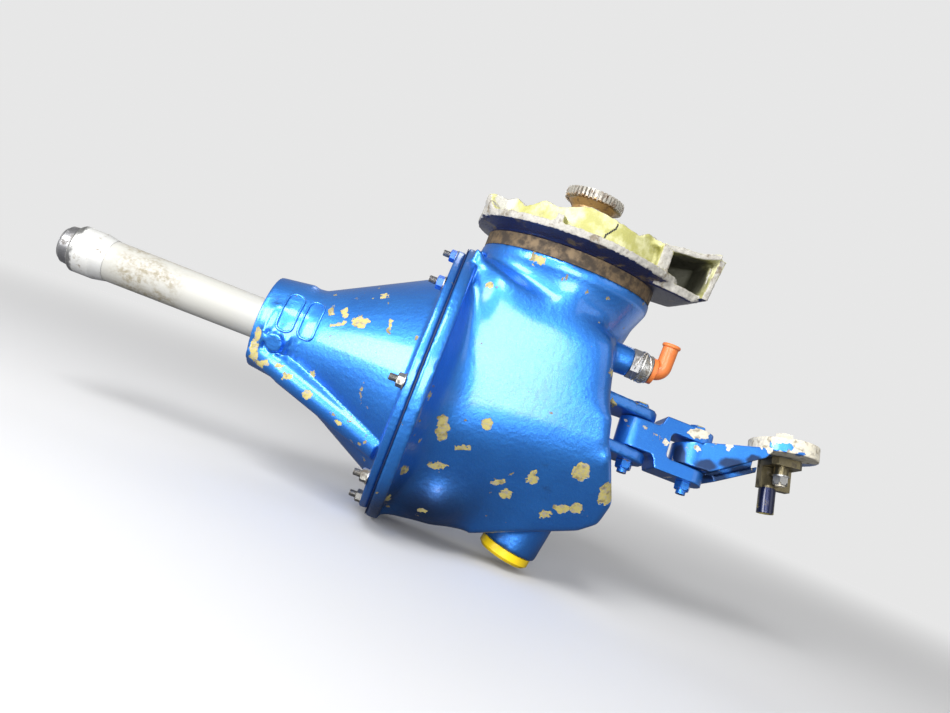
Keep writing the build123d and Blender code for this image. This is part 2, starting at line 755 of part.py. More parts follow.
def lever_plan():
    """The lever seen from above: round hub, tapered arm and round eye."""
    side = make_face(Polyline((fork_x, -lever_hub_r), (fork_x, lever_hub_r), (eye_x, eye_r),
                              (eye_x, -eye_r), close=True))
    return side + Pos(fork_x, 0) * Circle(lever_hub_r) + Pos(eye_x, 0) * Circle(eye_r)


def side_cut(points, width):
    """A prism across the lever, from (x, z) points of its side view."""
    return extrude(make_face(Plane.XZ * Polyline(*points, close=True)), width / 2, both=True)


def make_control_lever():
    """Forged lever: a hub in the fork, an I-section arm that rises to a tilted round eye."""
    half_hub = lever_hub_t / 2
    left = fork_x - lever_hub_r - 1
    eye_start = eye_x - eye_r + 4
    fork_end = fork_x + fork_r + ear_clearance
    wide = 3 * eye_r
    band = side_cut([
        (left, -half_hub), (fork_end - 4, -half_hub), (eye_start, lever_right_top - lever_band),
        (eye_start + 5, lever_right_top - 3), (eye_start + 5, lever_right_top + 2),
        (eye_start, lever_right_top), (left, lever_left_top),
    ], wide)
    low_end = (eye_start, lever_right_top - lever_band - 14)
    keel_start = (fork_end + 5, -lever_keel)
    web = side_cut([(fork_end - 12, -half_hub), (fork_end, -half_hub), keel_start, low_end,
                    (eye_start, lever_right_top - 3), (fork_x, lever_left_top)], lever_web_t)
    keel = side_cut([(fork_end, -half_hub), keel_start, low_end,
                     (low_end[0], low_end[1] + lever_flange_t),
                     (keel_start[0], keel_start[1] + lever_flange_t)], 2 * lever_hub_r - 8)
    plan = Pos(0, 0, -eye_x / 2) * raised(lever_plan(), eye_x)
    lever = (band & plan) + web + keel
    lever += at_eye(Pos(0, 0, -eye_t / 2) * extrude(Circle(eye_r), eye_t))
    ear = Pos(fork_x, 0, half_hub) * standing(fork_r + ear_clearance, eye_rise)
    behind = Pos(0, 0, half_hub + eye_rise / 2) * Box(2 * fork_x + 6, wide, eye_rise)
    lever -= ear + behind
    lever -= Pos(fork_x, 0, 0) * Cylinder(pin_r + bush_wall, 2 * fork_height)
    return lever - at_eye(Sphere(ball_r + running_gap))


def make_eye_bearing():
    """The ball of the spherical bearing in the lever's eye."""
    ball = Sphere(ball_r) & Cylinder(ball_r + 1, ball_height)
    return at_eye(ball - Cylinder(pin_r, 2 * ball_r + 2))


bracket_top = -ball_height / 2
eye_nut_top = bracket_top - bracket_top_t - 8.0


def make_swivel_block():
    """The rod bracket: a flange under the eye and a plate down behind the bolt's nut."""
    depth = bracket_front + bracket_back
    middle_y = (bracket_back - bracket_front) / 2
    top = Pos(0, middle_y, bracket_top - bracket_top_t / 2) * Box(bracket_width, depth, bracket_top_t)
    plate = Pos(0, bracket_back - bracket_plate_t / 2, bracket_top - bracket_height / 2)
    bracket = top + plate * Box(bracket_width, bracket_plate_t, bracket_height)
    bracket = chamfer(bracket.edges().filter_by(Axis.Z).group_by(Axis.Y)[0], 5)
    bracket += Pos(0, 0, eye_nut_top) * extrude(Circle(pin_r + 2.2), 9)
    foot = Pos(*rod_offset, bracket_top - bracket_height)
    bracket += foot * standing(rod_r - 2 * rod_neck, 2.5)
    bracket += foot * Pos(0, 0, -rod_spigot) * extrude(Circle(rod_bore_r - fit_gap), rod_spigot)
    return at_eye(bracket - Cylinder(pin_r + fit_gap, 3 * bracket_height))


def make_eye_bolt():
    """Headed bolt through the bearing and the bracket, its washer under the head."""
    seat = ball_height / 2
    end = eye_nut_top - eye_nut_height - 2.5
    shank = Pos(0, 0, end) * extrude(Circle(pin_r - running_gap), seat - end)
    washer = Pos(0, 0, seat) * extrude(Circle(11), 2)
    head = Pos(0, 0, seat + 2) * extrude(RegularPolygon(8.2, 6, major_radius=False), 6)
    return at_eye(shank + washer + head)


def make_eye_nut():
    """Washer and castellated nut at the lower end of the eye bolt."""
    washer = Pos(0, 0, eye_nut_top - 1.5) * extrude(Circle(8.5) - Circle(pin_r + fit_gap), 1.5)
    nut = hex_nut(eye_nut_flats, eye_nut_height, pin_r - running_gap + fit_gap, 3)
    return at_eye(Pos(0, 0, eye_nut_top - 1.5) * Rot(180, 0, 0) * nut), at_eye(washer)


def make_rod_stub():
    """The end of the control rod: a tube on the bracket's spigot."""
    end = bracket_top - bracket_height - rod_length
    wall = rod_length - 1.5 * rod_neck
    tube = standing(rod_r, wall) + standing(rod_r - rod_neck, rod_length)
    return at_eye(Pos(*rod_offset, end) * (tube - standing(rod_bore_r, rod_length)))


# Fittings on the case

def detector_place():
    z = detector_z - axis_drop
    return Pos(detector_boss_x, detector_y, z) * Rot(0, 90, 0)


def make_detector():
    """Hexagon adapter screwed into the boss, with a knurled locking ring on it."""
    place = detector_place()
    adapter = extrude(RegularPolygon(hex_flats / 2, 6, major_radius=False), hex_t)
    adapter += Pos(0, 0, -adapter_length) * standing(adapter_r - fit_gap, adapter_length)
    adapter += Pos(0, 0, hex_t) * standing(adapter_r, knurl_t + 1)
    knurl = Circle(knurl_r)
    notch = Pos(knurl_r, 0) * Rectangle(1.0, 1.3)
    knurl -= [Rot(0, 0, 360 * turn / knurl_teeth) * notch for turn in range(knurl_teeth)]
    knurl -= Circle(adapter_r + fit_gap)
    return place * adapter, place * Pos(0, 0, hex_t + 0.3) * extrude(knurl, knurl_t)


def make_elbow_boot():
    """Rubber elbow pushed on the detector's end, turned up towards the coupling."""
    start = hex_t + knurl_t + 1.3
    flange = Pos(0, 0, start) * extrude(Circle(boot_flange_r), 4)
    path = FilletPolyline((0, 0, start + 2), (0, 0, start + 12), (-boot_arm, 0, start + 12), radius=8)
    tube = sweep(Plane(origin=path @ 0, z_dir=path % 0) * Circle(boot_r), path)
    bead = Pos(-boot_arm + 1.5, 0, start + 12) * Rot(0, 90, 0) * Torus(boot_r - 0.6, 2.0)
    return detector_place() * (flange + tube + bead)


def make_port_cap():
    """Plastic cap over the bottom port: a dished cup with a plug that enters the bore."""
    plug_r = port_bore_r - running_gap
    points = [
        (0, 6), (plug_r - cap_wall, 6), (plug_r - cap_wall, 12), (plug_r, 12), (plug_r, -side_gap),
        (cap_r, -side_gap), (cap_r, -cap_height + 3), (cap_r - 3, -cap_height), (0, -cap_height),
    ]
    cap = revolve(make_face(Plane.XZ * Polyline(*points, close=True)), Axis.Z)
    return port_place() * cap


def make_coupling():
    """Crowned coupling: barrel-shaped teeth cut on a hub that slides on the shaft."""
    half = coupling_face / 2
    sag = coupling_crown_r - (coupling_crown_r ** 2 - half ** 2) ** 0.5
    root_r = coupling_r - coupling_tooth_depth
    bore_r = input_shaft_r + fit_gap
    blank = turned_up([
        (bore_r, coupling_hub_bottom), (coupling_hub_r, coupling_hub_bottom),
        (coupling_hub_r, coupling_z - half - 7), (root_r - 2, coupling_z - half - 1),
        (coupling_r - sag, coupling_z - half), (coupling_r, coupling_z),
        (coupling_r - sag, coupling_z + half), (bore_r, coupling_z + half),
    ])
    gap_half = pi * coupling_r / coupling_teeth / 2
    gap = make_face(Polyline((root_r, -gap_half * 0.55), (coupling_r + 1, -gap_half * 1.15),
                             (coupling_r + 1, gap_half * 1.15), (root_r, gap_half * 0.55), close=True))
    gap = Pos(0, 0, coupling_z - half - 2) * raised(gap, coupling_face + 4)
    return blank - [Rot(0, 0, 360 * turn / coupling_teeth) * gap for turn in range(coupling_teeth)]


def make_mast_tube():
    """Hollow mast, stepped up to the bearing and gear seat inside the housing."""
    seat_start = ball_bearing_x - 8
    return turned([
        (mast_tip_x, mast_bore_r + 4), (mast_tip_x, mast_r), (seat_start - 6, mast_r),
        (seat_start, mast_seat_r), (mast_end_x, mast_seat_r), (mast_end_x, mast_bore_r),
        (mast_tip_x + 14, mast_bore_r),
    ])


def build():
    nodes = {}
    nodes["gear_case"] = make_gear_case()
    nodes["output_housing"] = make_output_housing()
    gasket_hole = extrude(Circle(stud_r + stud_hole_gap), gasket_t + 2)
    gasket = ring_on_mast(pilot_r + 1, flange_r - 1, flange_x - gasket_t, flange_x)
    nodes["flange_gasket"] = gasket - on_mast_circle(gasket_hole, flange_x + 1, stud_circle_r, stud_count)
    nodes["flange_studs"], nodes["flange_washers"], nodes["flange_nuts"] = make_flange_fasteners()
    nodes["support_ring"] = make_support_ring()
    nodes["support_casting"] = make_support_casting()
    nodes["support_studs"], nodes["support_nuts"] = make_support_fasteners()
    add_output_line(nodes)
    add_input_line(nodes)
    add_fittings(nodes)
    add_linkage(nodes)
    return nodes


def make_support_ring():
    ring = ring_on_input(ring_inner_r, ring_outer_r, 0, ring_height)
    hole = extrude(Circle(stud_r + stud_hole_gap), ring_height + 2)
    return ring - on_support_circle(hole, -1)


def add_output_line(nodes):
    """Mast, its bearings and seal, the output gear and the pitch control rod."""
    nodes["mast_tube"] = make_mast_tube()
    tip = mast_tip_x
    nodes["mast_nose"] = turned([
        (tip - nose_length + 3, mast_bore_r + 3), (tip - nose_length, mast_bore_r + 5),
        (tip - nose_length, nose_r - 3), (tip - nose_length + 3, nose_r), (tip, nose_r + 1),
        (tip, mast_bore_r + 3),
    ])
    start = tip + 1
    inner = mast_r + fit_gap
    nodes["mast_collar"] = turned([
        (start, inner), (start, collar_r - 1), (start + 1.5, collar_r),
        (start + collar_length - collar_taper, collar_r), (start + collar_length, mast_r + 0.4),
        (start + collar_length, inner),
    ])
    outer, inner, rollers = roller_bearing(mast_r, sleeve_bore_r, outer_bearing_width)
    nodes["sleeve_bearing_outer"] = at_mast(outer, outer_bearing_x)
    nodes["sleeve_bearing_inner"] = at_mast(inner, outer_bearing_x)
    nodes["sleeve_bearing_rollers"] = [at_mast(one, outer_bearing_x) for one in rollers]
    outer, inner, balls = ball_bearing(mast_seat_r, hub_bore_r, ball_bearing_width)
    nodes["hub_bearing_outer"] = at_mast(outer, ball_bearing_x)
    nodes["hub_bearing_inner"] = at_mast(inner, ball_bearing_x)
    nodes["hub_bearing_balls"] = [at_mast(one, ball_bearing_x) for one in balls]
    nodes["mast_seal"] = ring_on_mast(mast_r + running_gap, sleeve_bore_r - fit_gap,
                                      sleeve_mouth_x + 3, outer_bearing_x - side_gap)
    nodes["mast_seal_ring"] = ring_on_mast(mast_r + 6, sleeve_bore_r - fit_gap,
                                           sleeve_mouth_x + 0.5, sleeve_mouth_x + 2.8)
    nodes["output_gear"] = make_output_gear()
    back_x = -gear_back_z
    nodes["gear_spacer"] = ring_on_mast(mast_seat_r + fit_gap, mast_seat_r + 6,
                                        ball_bearing_x + ball_bearing_width, back_x)
    nut = hex_nut(2 * mast_seat_r + 20, 8, mast_seat_r + fit_gap)
    nodes["gear_nut"] = Pos(-gear_toe_z, 0, -axis_drop) * Rot(0, 90, 0) * nut
    nodes["pitch_rod"] = make_pitch_rod()
    nodes["mast_bush"] = ring_on_mast(pitch_rod_r + running_gap, mast_bore_r - fit_gap,
                                      guide_bush_x, guide_bush_x + guide_bush_length)


def make_pitch_rod():
    start = (pitch_rod_start_x, 0, -axis_drop)
    rod = rod_between(start, (pitch_rod_end_x, 0, -axis_drop), pitch_rod_r)
    eye_end = rod_between(start, (pitch_rod_start_x - 16, 0, -axis_drop), 4.5)
    return rod + eye_end


def add_input_line(nodes):
    """Input quill sleeve, pinion shaft, bearings, seal, nut and toothed coupling."""
    sleeve = turned_up([
        (quill_bore_r, -quill_depth), (neck_bore_r - fit_gap, -quill_depth), (neck_bore_r - fit_gap, 0),
        (quill_flange_r, 0), (quill_flange_r, quill_flange_t), (quill_bore_r - 10, quill_flange_t),
        (quill_bore_r - 10, 2), (quill_bore_r, 2),
    ])
    nodes["input_quill_sleeve"] = sleeve
    nodes["pinion_shaft"] = make_pinion_shaft()
    outer, inner, rollers = roller_bearing(input_seat_r, quill_bore_r, input_bearing_width)
    place = Pos(0, 0, input_bearing_z)
    nodes["pinion_bearing_outer"] = place * outer
    nodes["pinion_bearing_inner"] = place * inner
    nodes["pinion_bearing_rollers"] = [place * one for one in rollers]
    outer, inner, balls = ball_bearing(input_seat_r, quill_bore_r, input_ball_width)
    place = Pos(0, 0, input_ball_z)
    nodes["input_bearing_outer"] = place * outer
    nodes["input_bearing_inner"] = place * inner
    nodes["input_bearing_balls"] = [place * one for one in balls]
    low = input_bearing_z + input_bearing_width
    nodes["input_spacer_inner"] = ring_on_input(input_seat_r + fit_gap, input_seat_r + 4, low, input_ball_z)
    nodes["input_spacer_outer"] = ring_on_input(quill_bore_r - 4, quill_bore_r - fit_gap, low, input_ball_z)
    nut_z = input_ball_z + input_ball_width
    nodes["input_nut"] = Pos(0, 0, nut_z) * hex_nut(2 * input_seat_r + 9, 7, input_seat_r + fit_gap)
    nodes["input_seal"] = ring_on_input(input_shaft_r + running_gap, quill_bore_r - 10 - fit_gap, 5,
                                        quill_flange_t)
    nodes["input_coupling"] = make_coupling()
    ring_z = coupling_z + coupling_face / 2
    nodes["coupling_snap_ring"] = ring_on_input(input_shaft_r + fit_gap, input_shaft_r + 3, ring_z,
                                                ring_z + snap_ring_t)


def add_fittings(nodes):
    nodes["detector_adapter"], nodes["detector_ring"] = make_detector()
    nodes["elbow_boot"] = make_elbow_boot()
    nodes["port_cap"] = make_port_cap()


def add_linkage(nodes):
    """Lugs' pin and bushes, idler link, control lever, swivel block and rod stub."""
    lug_top = lug_gap / 2 + lug_t
    pin, nut = pin_with_nut(2 * lug_top, lug_pin_flats)
    nodes["lug_pin"] = in_linkage(Pos(0, 0, lug_top) * pin)
    nodes["lug_pin_nut"] = in_linkage(Pos(0, 0, lug_top) * nut)
    nodes["lug_bushes"] = [in_linkage(bush(lug_t, lug_gap / 2)), in_linkage(bush(lug_t, -lug_top))]
    nodes["idler_link"] = in_linkage(make_idler_link())
    half = fork_height / 2
    fork = Pos(fork_x, 0, 0)
    pin, nut = pin_with_nut(2 * half, fork_pin_flats)
    nodes["fork_pin"] = in_linkage(fork * Pos(0, 0, half) * pin)
    nodes["fork_pin_nut"] = in_linkage(fork * Pos(0, 0, half) * nut)
    ear_t = half - fork_slot / 2
    bushes = [bush(link_eye_t, -link_eye_t / 2), fork * bush(ear_t, fork_slot / 2),
              fork * bush(ear_t, -half)]
    nodes["link_bushes"] = [in_linkage(one) for one in bushes]
    nodes["control_lever"] = in_linkage(make_control_lever())
    nodes["lever_bush"] = in_linkage(fork * bush(lever_hub_t, -lever_hub_t / 2))
    nodes["eye_bearing"] = in_linkage(make_eye_bearing())
    nodes["swivel_block"] = in_linkage(make_swivel_block())
    nodes["eye_bolt"] = in_linkage(make_eye_bolt())
    nodes["eye_nut"] = [in_linkage(piece) for piece in make_eye_nut()]
    nodes["rod_stub"] = in_linkage(make_rod_stub())


def solids_of(piece):
    """All the solids of one shape or of a list of shapes."""
    if isinstance(piece, (list, tuple)):
        return [solid for one in piece for solid in one.solids()]
    return list(piece.solids())


if __name__ == "__main__":
    os.makedirs("parts", exist_ok=True)
    for name, piece in build().items():
        solids = solids_of(piece)
        shape = solids[0] if len(solids) == 1 else Compound(children=solids)
        export_step(shape, f"parts/{name}.step")
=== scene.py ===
"""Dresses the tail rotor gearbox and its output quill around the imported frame."""

import logging
import math
from contextlib import contextmanager
from dataclasses import dataclass
from enum import Enum
from typing import Callable, Iterator, Optional, Sequence

import bpy
from mathutils import Matrix, Vector


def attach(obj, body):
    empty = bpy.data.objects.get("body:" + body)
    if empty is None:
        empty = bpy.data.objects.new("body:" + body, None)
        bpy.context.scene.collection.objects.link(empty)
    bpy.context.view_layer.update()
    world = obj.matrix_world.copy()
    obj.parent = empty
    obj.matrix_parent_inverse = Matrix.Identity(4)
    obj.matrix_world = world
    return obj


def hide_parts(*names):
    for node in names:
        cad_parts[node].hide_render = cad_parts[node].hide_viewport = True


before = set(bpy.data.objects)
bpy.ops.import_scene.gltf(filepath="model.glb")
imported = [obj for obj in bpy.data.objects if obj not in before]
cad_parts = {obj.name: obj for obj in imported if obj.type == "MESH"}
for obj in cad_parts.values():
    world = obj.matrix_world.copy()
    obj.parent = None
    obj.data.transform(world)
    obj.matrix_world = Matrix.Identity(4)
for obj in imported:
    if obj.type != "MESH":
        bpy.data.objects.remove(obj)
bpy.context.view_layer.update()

log = logging.getLogger("gearbox")

Piece = bpy.types.Object
Socket = bpy.types.NodeSocket
Material = bpy.types.Material
Point = tuple[float, float, float]
Colour = tuple[float, float, float]
Places = Sequence[tuple[Point, Point]]

MM = 0.001
AXIS_DROP = 0.150  # mounting face to the mast axis
DETECTOR_Y = -0.050  # the chip detector's axis, which runs along X
DETECTOR_Z = -0.060
MERGE = 0.00001  # points nearer than this are one
CAST_RELAX = 0.5  # how far each round of relaxing moves a point
ZONE_RELAX = 0.9


@dataclass(frozen=True)
class View:
    """How the photograph sees the part."""

    image: tuple[int, int] = (950, 713)
    focal_px: float = 750.0
    roll: float = 21.4  # degrees that +X leans down in the picture
    square_on: tuple[float, float] = (434.0, 353.0)  # the pixel that looks straight along +Y
    camera_at: Point = (-0.095, -0.750, -0.119)

    def axes(self) -> tuple[Vector, Vector, Vector]:
        """The camera's right, up and forward directions in the row frame."""
        lean = math.radians(self.roll)
        right = Vector((math.cos(lean), 0, math.sin(lean)))
        up = Vector((-math.sin(lean), 0, math.cos(lean)))
        forward = Vector((0, 1, 0))
        turn = self.along(right, up, forward, *self.square_on).rotation_difference(forward)
        return turn @ right, turn @ up, turn @ forward

    def along(self, right: Vector, up: Vector, forward: Vector, px: float, py: float) -> Vector:
        """The direction of a pixel from a camera with these axes."""
        off_x, off_y = px - self.image[0] / 2, self.image[1] / 2 - py
        return (forward * self.focal_px + right * off_x + up * off_y).normalized()

    def ray(self, px: float, py: float) -> Vector:
        """The direction in which a pixel looks."""
        return self.along(*self.axes(), px, py)

    def hit(self, piece: Piece, px: float, py: float) -> Optional[Point]:
        """Where a pixel's line of sight first meets a piece."""
        found, place, _, _ = piece.ray_cast(self.camera_at, self.ray(px, py))
        return tuple(place) if found else None


VIEW = View()


class Coordinate(Enum):
    """A coordinate of the row frame, by its place in a point."""

    X = 0
    Y = 1
    Z = 2


# Selecting and finishing meshes


def select_only(piece: Piece) -> None:
    """Make one object the only selected and active one."""
    bpy.ops.object.select_all(action="DESELECT")
    piece.select_set(True)
    bpy.context.view_layer.objects.active = piece


def settle(piece: Piece, name: str) -> Piece:
    """Name a piece and put its place into its mesh, so its object sits at the origin."""
    select_only(piece)
    bpy.ops.object.transform_apply(location=True, rotation=True, scale=True)
    piece.name = name
    piece.data.name = name
    return piece


@contextmanager
def editing(piece: Piece) -> Iterator[None]:
    """Edit mode on one piece, with everything selected to begin with."""
    select_only(piece)
    bpy.ops.object.mode_set(mode="EDIT")
    bpy.ops.mesh.select_all(action="SELECT")
    yield
    bpy.ops.object.mode_set(mode="OBJECT")


def apply_all(piece: Piece) -> None:
    """Apply every modifier of a piece in order."""
    select_only(piece)
    for modifier in list(piece.modifiers):
        bpy.ops.object.modifier_apply(modifier=modifier.name)


def smooth_by_angle(piece: Piece, degrees: float) -> None:
    """Shade a piece smooth except across edges sharper than an angle."""
    select_only(piece)
    bpy.ops.object.shade_smooth_by_angle(angle=math.radians(degrees))


def add_object(name: str, data: bpy.types.ID) -> Piece:
    """Put a new object with some data into the scene."""
    piece = bpy.data.objects.new(name, data)
    bpy.context.scene.collection.objects.link(piece)
    return piece


def join_into(target: Piece, others: Sequence[Piece]) -> Piece:
    """Join other objects into a target and return it."""
    bpy.ops.object.select_all(action="DESELECT")
    for other in others:
        other.select_set(True)
    target.select_set(True)
    bpy.context.view_layer.objects.active = target
    bpy.ops.object.join()
    return target


@dataclass(frozen=True)
class Zone:
    """A box of the row frame, in metres, in which a casting is softened further."""

    low: Point
    high: Point
    margin: float = 0.012  # over which the softening fades in

    def weight(self, spot: Vector) -> float:
        """1 well inside the box, 0 outside it."""
        depth = min(min(spot[axis] - self.low[axis], self.high[axis] - spot[axis])
                    for axis in range(3))
        return min(1.0, max(0.0, depth / self.margin))


@dataclass(frozen=True)
class Skin:
    """The soft skin of a casting: a fine new mesh, relaxed."""

    voxel: float  # edge length of the new mesh
    rounds: int = 3  # how many times its points are relaxed
    zone_rounds: int = 0  # and those of its softer zones once more

    def lay(self, piece: Piece) -> None:
        """Give a closed mesh this skin."""
        remesh = piece.modifiers.new("cast skin", "REMESH")
        remesh.mode = "VOXEL"
        remesh.voxel_size = self.voxel
        relax = piece.modifiers.new("cast blends", "SMOOTH")
        relax.factor = CAST_RELAX
        relax.iterations = self.rounds
        apply_all(piece)
        bpy.ops.object.shade_smooth()

    def cast(self, node: str, name: str) -> Piece:
        """Make a piece from a CAD node's mesh, its loose triangles merged, with this skin.

        Args:
            node: The CAD node.
            name: The piece's name.

        Returns:
            The piece.
        """
        piece = add_object(name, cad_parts[node].data.copy())
        piece.data.materials.clear()
        with editing(piece):
            bpy.ops.mesh.remove_doubles(threshold=MERGE)
            bpy.ops.mesh.customdata_custom_splitnormals_clear()
        self.lay(piece)
        return settle(piece, name)

    def soften(self, piece: Piece, zones: Sequence[Zone],
               keep: Optional[Callable[[Vector], bool]] = None) -> None:
        """Relax a piece's skin once more inside some zones.

        Args:
            piece: The piece with its skin.
            zones: Where it is relaxed.
            keep: Says of a place that it stays as it is.
        """
        group = piece.vertex_groups.new(name="soften")
        for vertex in piece.data.vertices:
            amount = max(zone.weight(vertex.co) for zone in zones)
            if amount > 0 and not (keep and keep(vertex.co)):
                group.add([vertex.index], amount, "REPLACE")
        relax = piece.modifiers.new("softer zones", "SMOOTH")
        relax.factor = ZONE_RELAX
        relax.iterations = self.zone_rounds
        relax.vertex_group = "soften"
        apply_all(piece)
        piece.vertex_groups.clear()


def push_about(piece: Piece, name: str, scale: float, depth: int, strength: float,
               **settings: object) -> None:
    """Push a piece's surface about by cloud noise.

    Args:
        piece: The piece.
        name: The noise's and the modifier's name.
        scale: Size of the clouds.
        depth: Layers of finer clouds.
        strength: How far the surface moves.
        settings: Further settings of the modifier.
    """
    texture = bpy.data.textures.new(name, "CLOUDS")
    texture.noise_scale = scale
    texture.noise_depth = depth
    push = piece.modifiers.new(name, "DISPLACE")
    push.texture = texture
    push.strength = strength
    for key, value in settings.items():
        setattr(push, key, value)
    apply_all(piece)


@dataclass(frozen=True)
class Chip:
    """One marked place of the surface, as it is seen in the picture."""

    where: str
    px: float  # middle of the place in the picture, in pixels
    py: float
    wide: float  # half sizes along the picture, in millimetres
    high: float
    deep: float = 16.0  # half size away from the camera
    shrink: float = 0.85  # the outline grows by noise, so it starts smaller
    rim: float = 0.5  # added to every half size, in millimetres

    def squeeze(self) -> Point:
        """One over each half size, in metres."""
        return tuple(1 / ((self.shrink * size + self.rim) * MM)
                     for size in (self.wide, self.deep, self.high))


# Materials


class Tree:
    """A small builder for one tree of nodes."""

    def __init__(self, tree: bpy.types.NodeTree) -> None:
        """Start with an empty tree."""
        self.tree = tree
        self.tree.nodes.clear()

    def plug(self, socket: Socket, value: object) -> None:
        """Link an output to a socket, or set the socket's own value."""
        if isinstance(value, Socket):
            self.tree.links.new(value, socket)
        elif isinstance(value, tuple) and socket.type == "RGBA" and len(value) == 3:
            socket.default_value = (*value, 1.0)
        else:
            socket.default_value = value

    def node(self, kind: str, inputs: dict[object, object], **settings: object) -> bpy.types.Node:
        """Add a node.

        Args:
            kind: Its type, without ShaderNode in front.
            inputs: Values or outputs by the input's name or place.
            settings: Its settings.

        Returns:
            The node.
        """
        node = self.tree.nodes.new("ShaderNode" + kind)
        for key, value in settings.items():
            setattr(node, key, value)
        for key, value in inputs.items():
            self.plug(node.inputs[key], value)
        return node


class Shader(Tree):
    """One procedural material on object coordinates."""

    def __init__(self, name: str) -> None:
        """Start an empty material with a principled surface."""
        self.material = bpy.data.materials.new(name)
        self.material.use_nodes = True
        super().__init__(self.material.node_tree)
        self.surface = self.node("BsdfPrincipled", {})
        self.output = self.node("OutputMaterial", {0: self.surface.outputs[0]})
        self.coords = self.node("TexCoord", {}).outputs["Object"]

    def set(self, **values: object) -> None:
        """Set sockets of the principled surface by name, underscores for spaces."""
        for key, value in values.items():
            self.plug(self.surface.inputs[key.replace("_", " ")], value)

    def math(self, operation: str, a: object, b: object = 0.0, c: object = 0.0) -> Socket:
        """One math node."""
        return self.node("Math", {0: a, 1: b, 2: c}, operation=operation).outputs[0]

    def rest_of(self, mask: object) -> Socket:
        """One minus a mask."""
        return self.math("SUBTRACT", 1.0, mask)

    def vector_math(self, operation: str, a: object, b: object = (0.0, 0.0, 0.0)) -> Socket:
        """One vector math node's result, which is a number for a length or a dot product."""
        node = self.node("VectorMath", {0: a, 1: b}, operation=operation)
        return node.outputs["Value" if operation in ("LENGTH", "DOT_PRODUCT") else "Vector"]

    def noise(self, scale: float, detail: float = 4.0, rough: float = 0.55,
              stretch: Optional[Point] = None, output: str = "Fac") -> Socket:
        """Noise on object coordinates, stretched along the axes if asked."""
        source = self.vector_math("MULTIPLY", self.coords, stretch) if stretch else self.coords
        inputs = {"Vector": source, "Scale": scale, "Detail": detail, "Roughness": rough}
        return self.node("TexNoise", inputs).outputs[output]

    def step(self, value: object, low: float, high: float) -> Socket:
        """A soft step from 0 at low to 1 at high."""
        return self.node("MapRange", {"Value": value, "From Min": low, "From Max": high},
                         interpolation_type="SMOOTHSTEP").outputs["Result"]

    def patches(self, low: float, high: float, scale: float, detail: float = 4.0,
                rough: float = 0.55) -> Socket:
        """A mask of patches: noise stepped from 0 at one level to 1 at another."""
        return self.step(self.noise(scale, detail, rough), low, high)

    def mix(self, factor: object, a: object, b: object) -> Socket:
        """Mix two colours."""
        return self.node("Mix", {0: factor, 6: a, 7: b}, data_type="RGBA").outputs[2]

    def tint(self, under: object, mask: object, amount: float, colour: Colour) -> Socket:
        """Lay part of a colour over another where a mask says so."""
        return self.mix(self.math("MULTIPLY", mask, amount), under, colour)

    def blend(self, factor: object, a: float, b: float) -> Socket:
        """Mix two numbers."""
        return self.node("Mix", {0: factor, 2: a, 3: b}).outputs[0]

    def facing(self, direction: Point) -> Socket:
        """How far the true surface faces a direction of the row frame at rest."""
        normal = self.node("TexCoord", {}).outputs["Normal"]
        return self.vector_math("DOT_PRODUCT", normal, direction)

    def along(self, axis: Coordinate) -> Socket:
        """One object coordinate, in metres."""
        return self.node("SeparateXYZ", {0: self.coords}).outputs[axis.value]

    def ragged(self, scale: float, amount: float) -> Socket:
        """Object coordinates pushed about by noise, for ragged outlines."""
        push = self.vector_math("SUBTRACT", self.noise(scale, 3.0, output="Color"), (0.5,) * 3)
        push = self.vector_math("MULTIPLY", push, (amount,) * 3)
        return self.vector_math("ADD", self.coords, push)

    def spots(self, spots: Places, source: Socket) -> Socket:
        """Measure how deep a point is in the nearest of some spots.

        Args:
            spots: Centres and squeezes, one over each half size.
            source: The coordinates.

        Returns:
            The greatest of 1 - distance / radius.
        """
        lean = math.radians(VIEW.roll)
        level = self.node("VectorRotate", {"Vector": source, "Angle": lean},
                          rotation_type="Y_AXIS").outputs[0]
        result: object = -5.0
        for centre, squeeze in spots:
            middle = tuple(Matrix.Rotation(lean, 3, "Y") @ Vector(centre))
            gap = self.vector_math("SUBTRACT", level, middle)
            length = self.vector_math("LENGTH", self.vector_math("MULTIPLY", gap, squeeze))
            result = self.math("MAXIMUM", self.rest_of(length), result)
        return result

    def spotted(self, piece: Piece, chips: Sequence[Chip], source: Socket,
                fade: float = 0.04) -> object:
        """A mask of ragged spots where the chips' lines of sight meet the piece.

        Args:
            piece: The finished piece.
            chips: The places in the picture.
            source: The coordinates.
            fade: How softly the spots end.

        Returns:
            The mask, or 0 where no chip meets the piece.
        """
        found = [(VIEW.hit(piece, chip.px, chip.py), chip.squeeze()) for chip in chips]
        found = [(centre, squeeze) for centre, squeeze in found if centre]
        return self.step(self.spots(found, source), 0.0, fade) if found else 0.0

    def near(self, places: Places, source: Socket) -> Socket:
        """How near a point is to the middle of the nearest (middle, half sizes) place."""
        return self.spots([(middle, tuple(1 / half for half in halves))
                           for middle, halves in places], source)

    def bump(self, height: object, distance: float, strength: float = 1.0) -> None:
        """Add a bump layer under whatever normal is already plugged in.

        Args:
            height: Its height.
            distance: What a height of 1 is, in metres.
            strength: How strong.
        """
        bump = self.node("Bump", {"Distance": distance, "Strength": strength, "Height": height})
        normal = self.surface.inputs["Normal"]
        if normal.links:
            self.plug(bump.inputs["Normal"], normal.links[0].from_socket)
        self.plug(normal, bump.outputs[0])


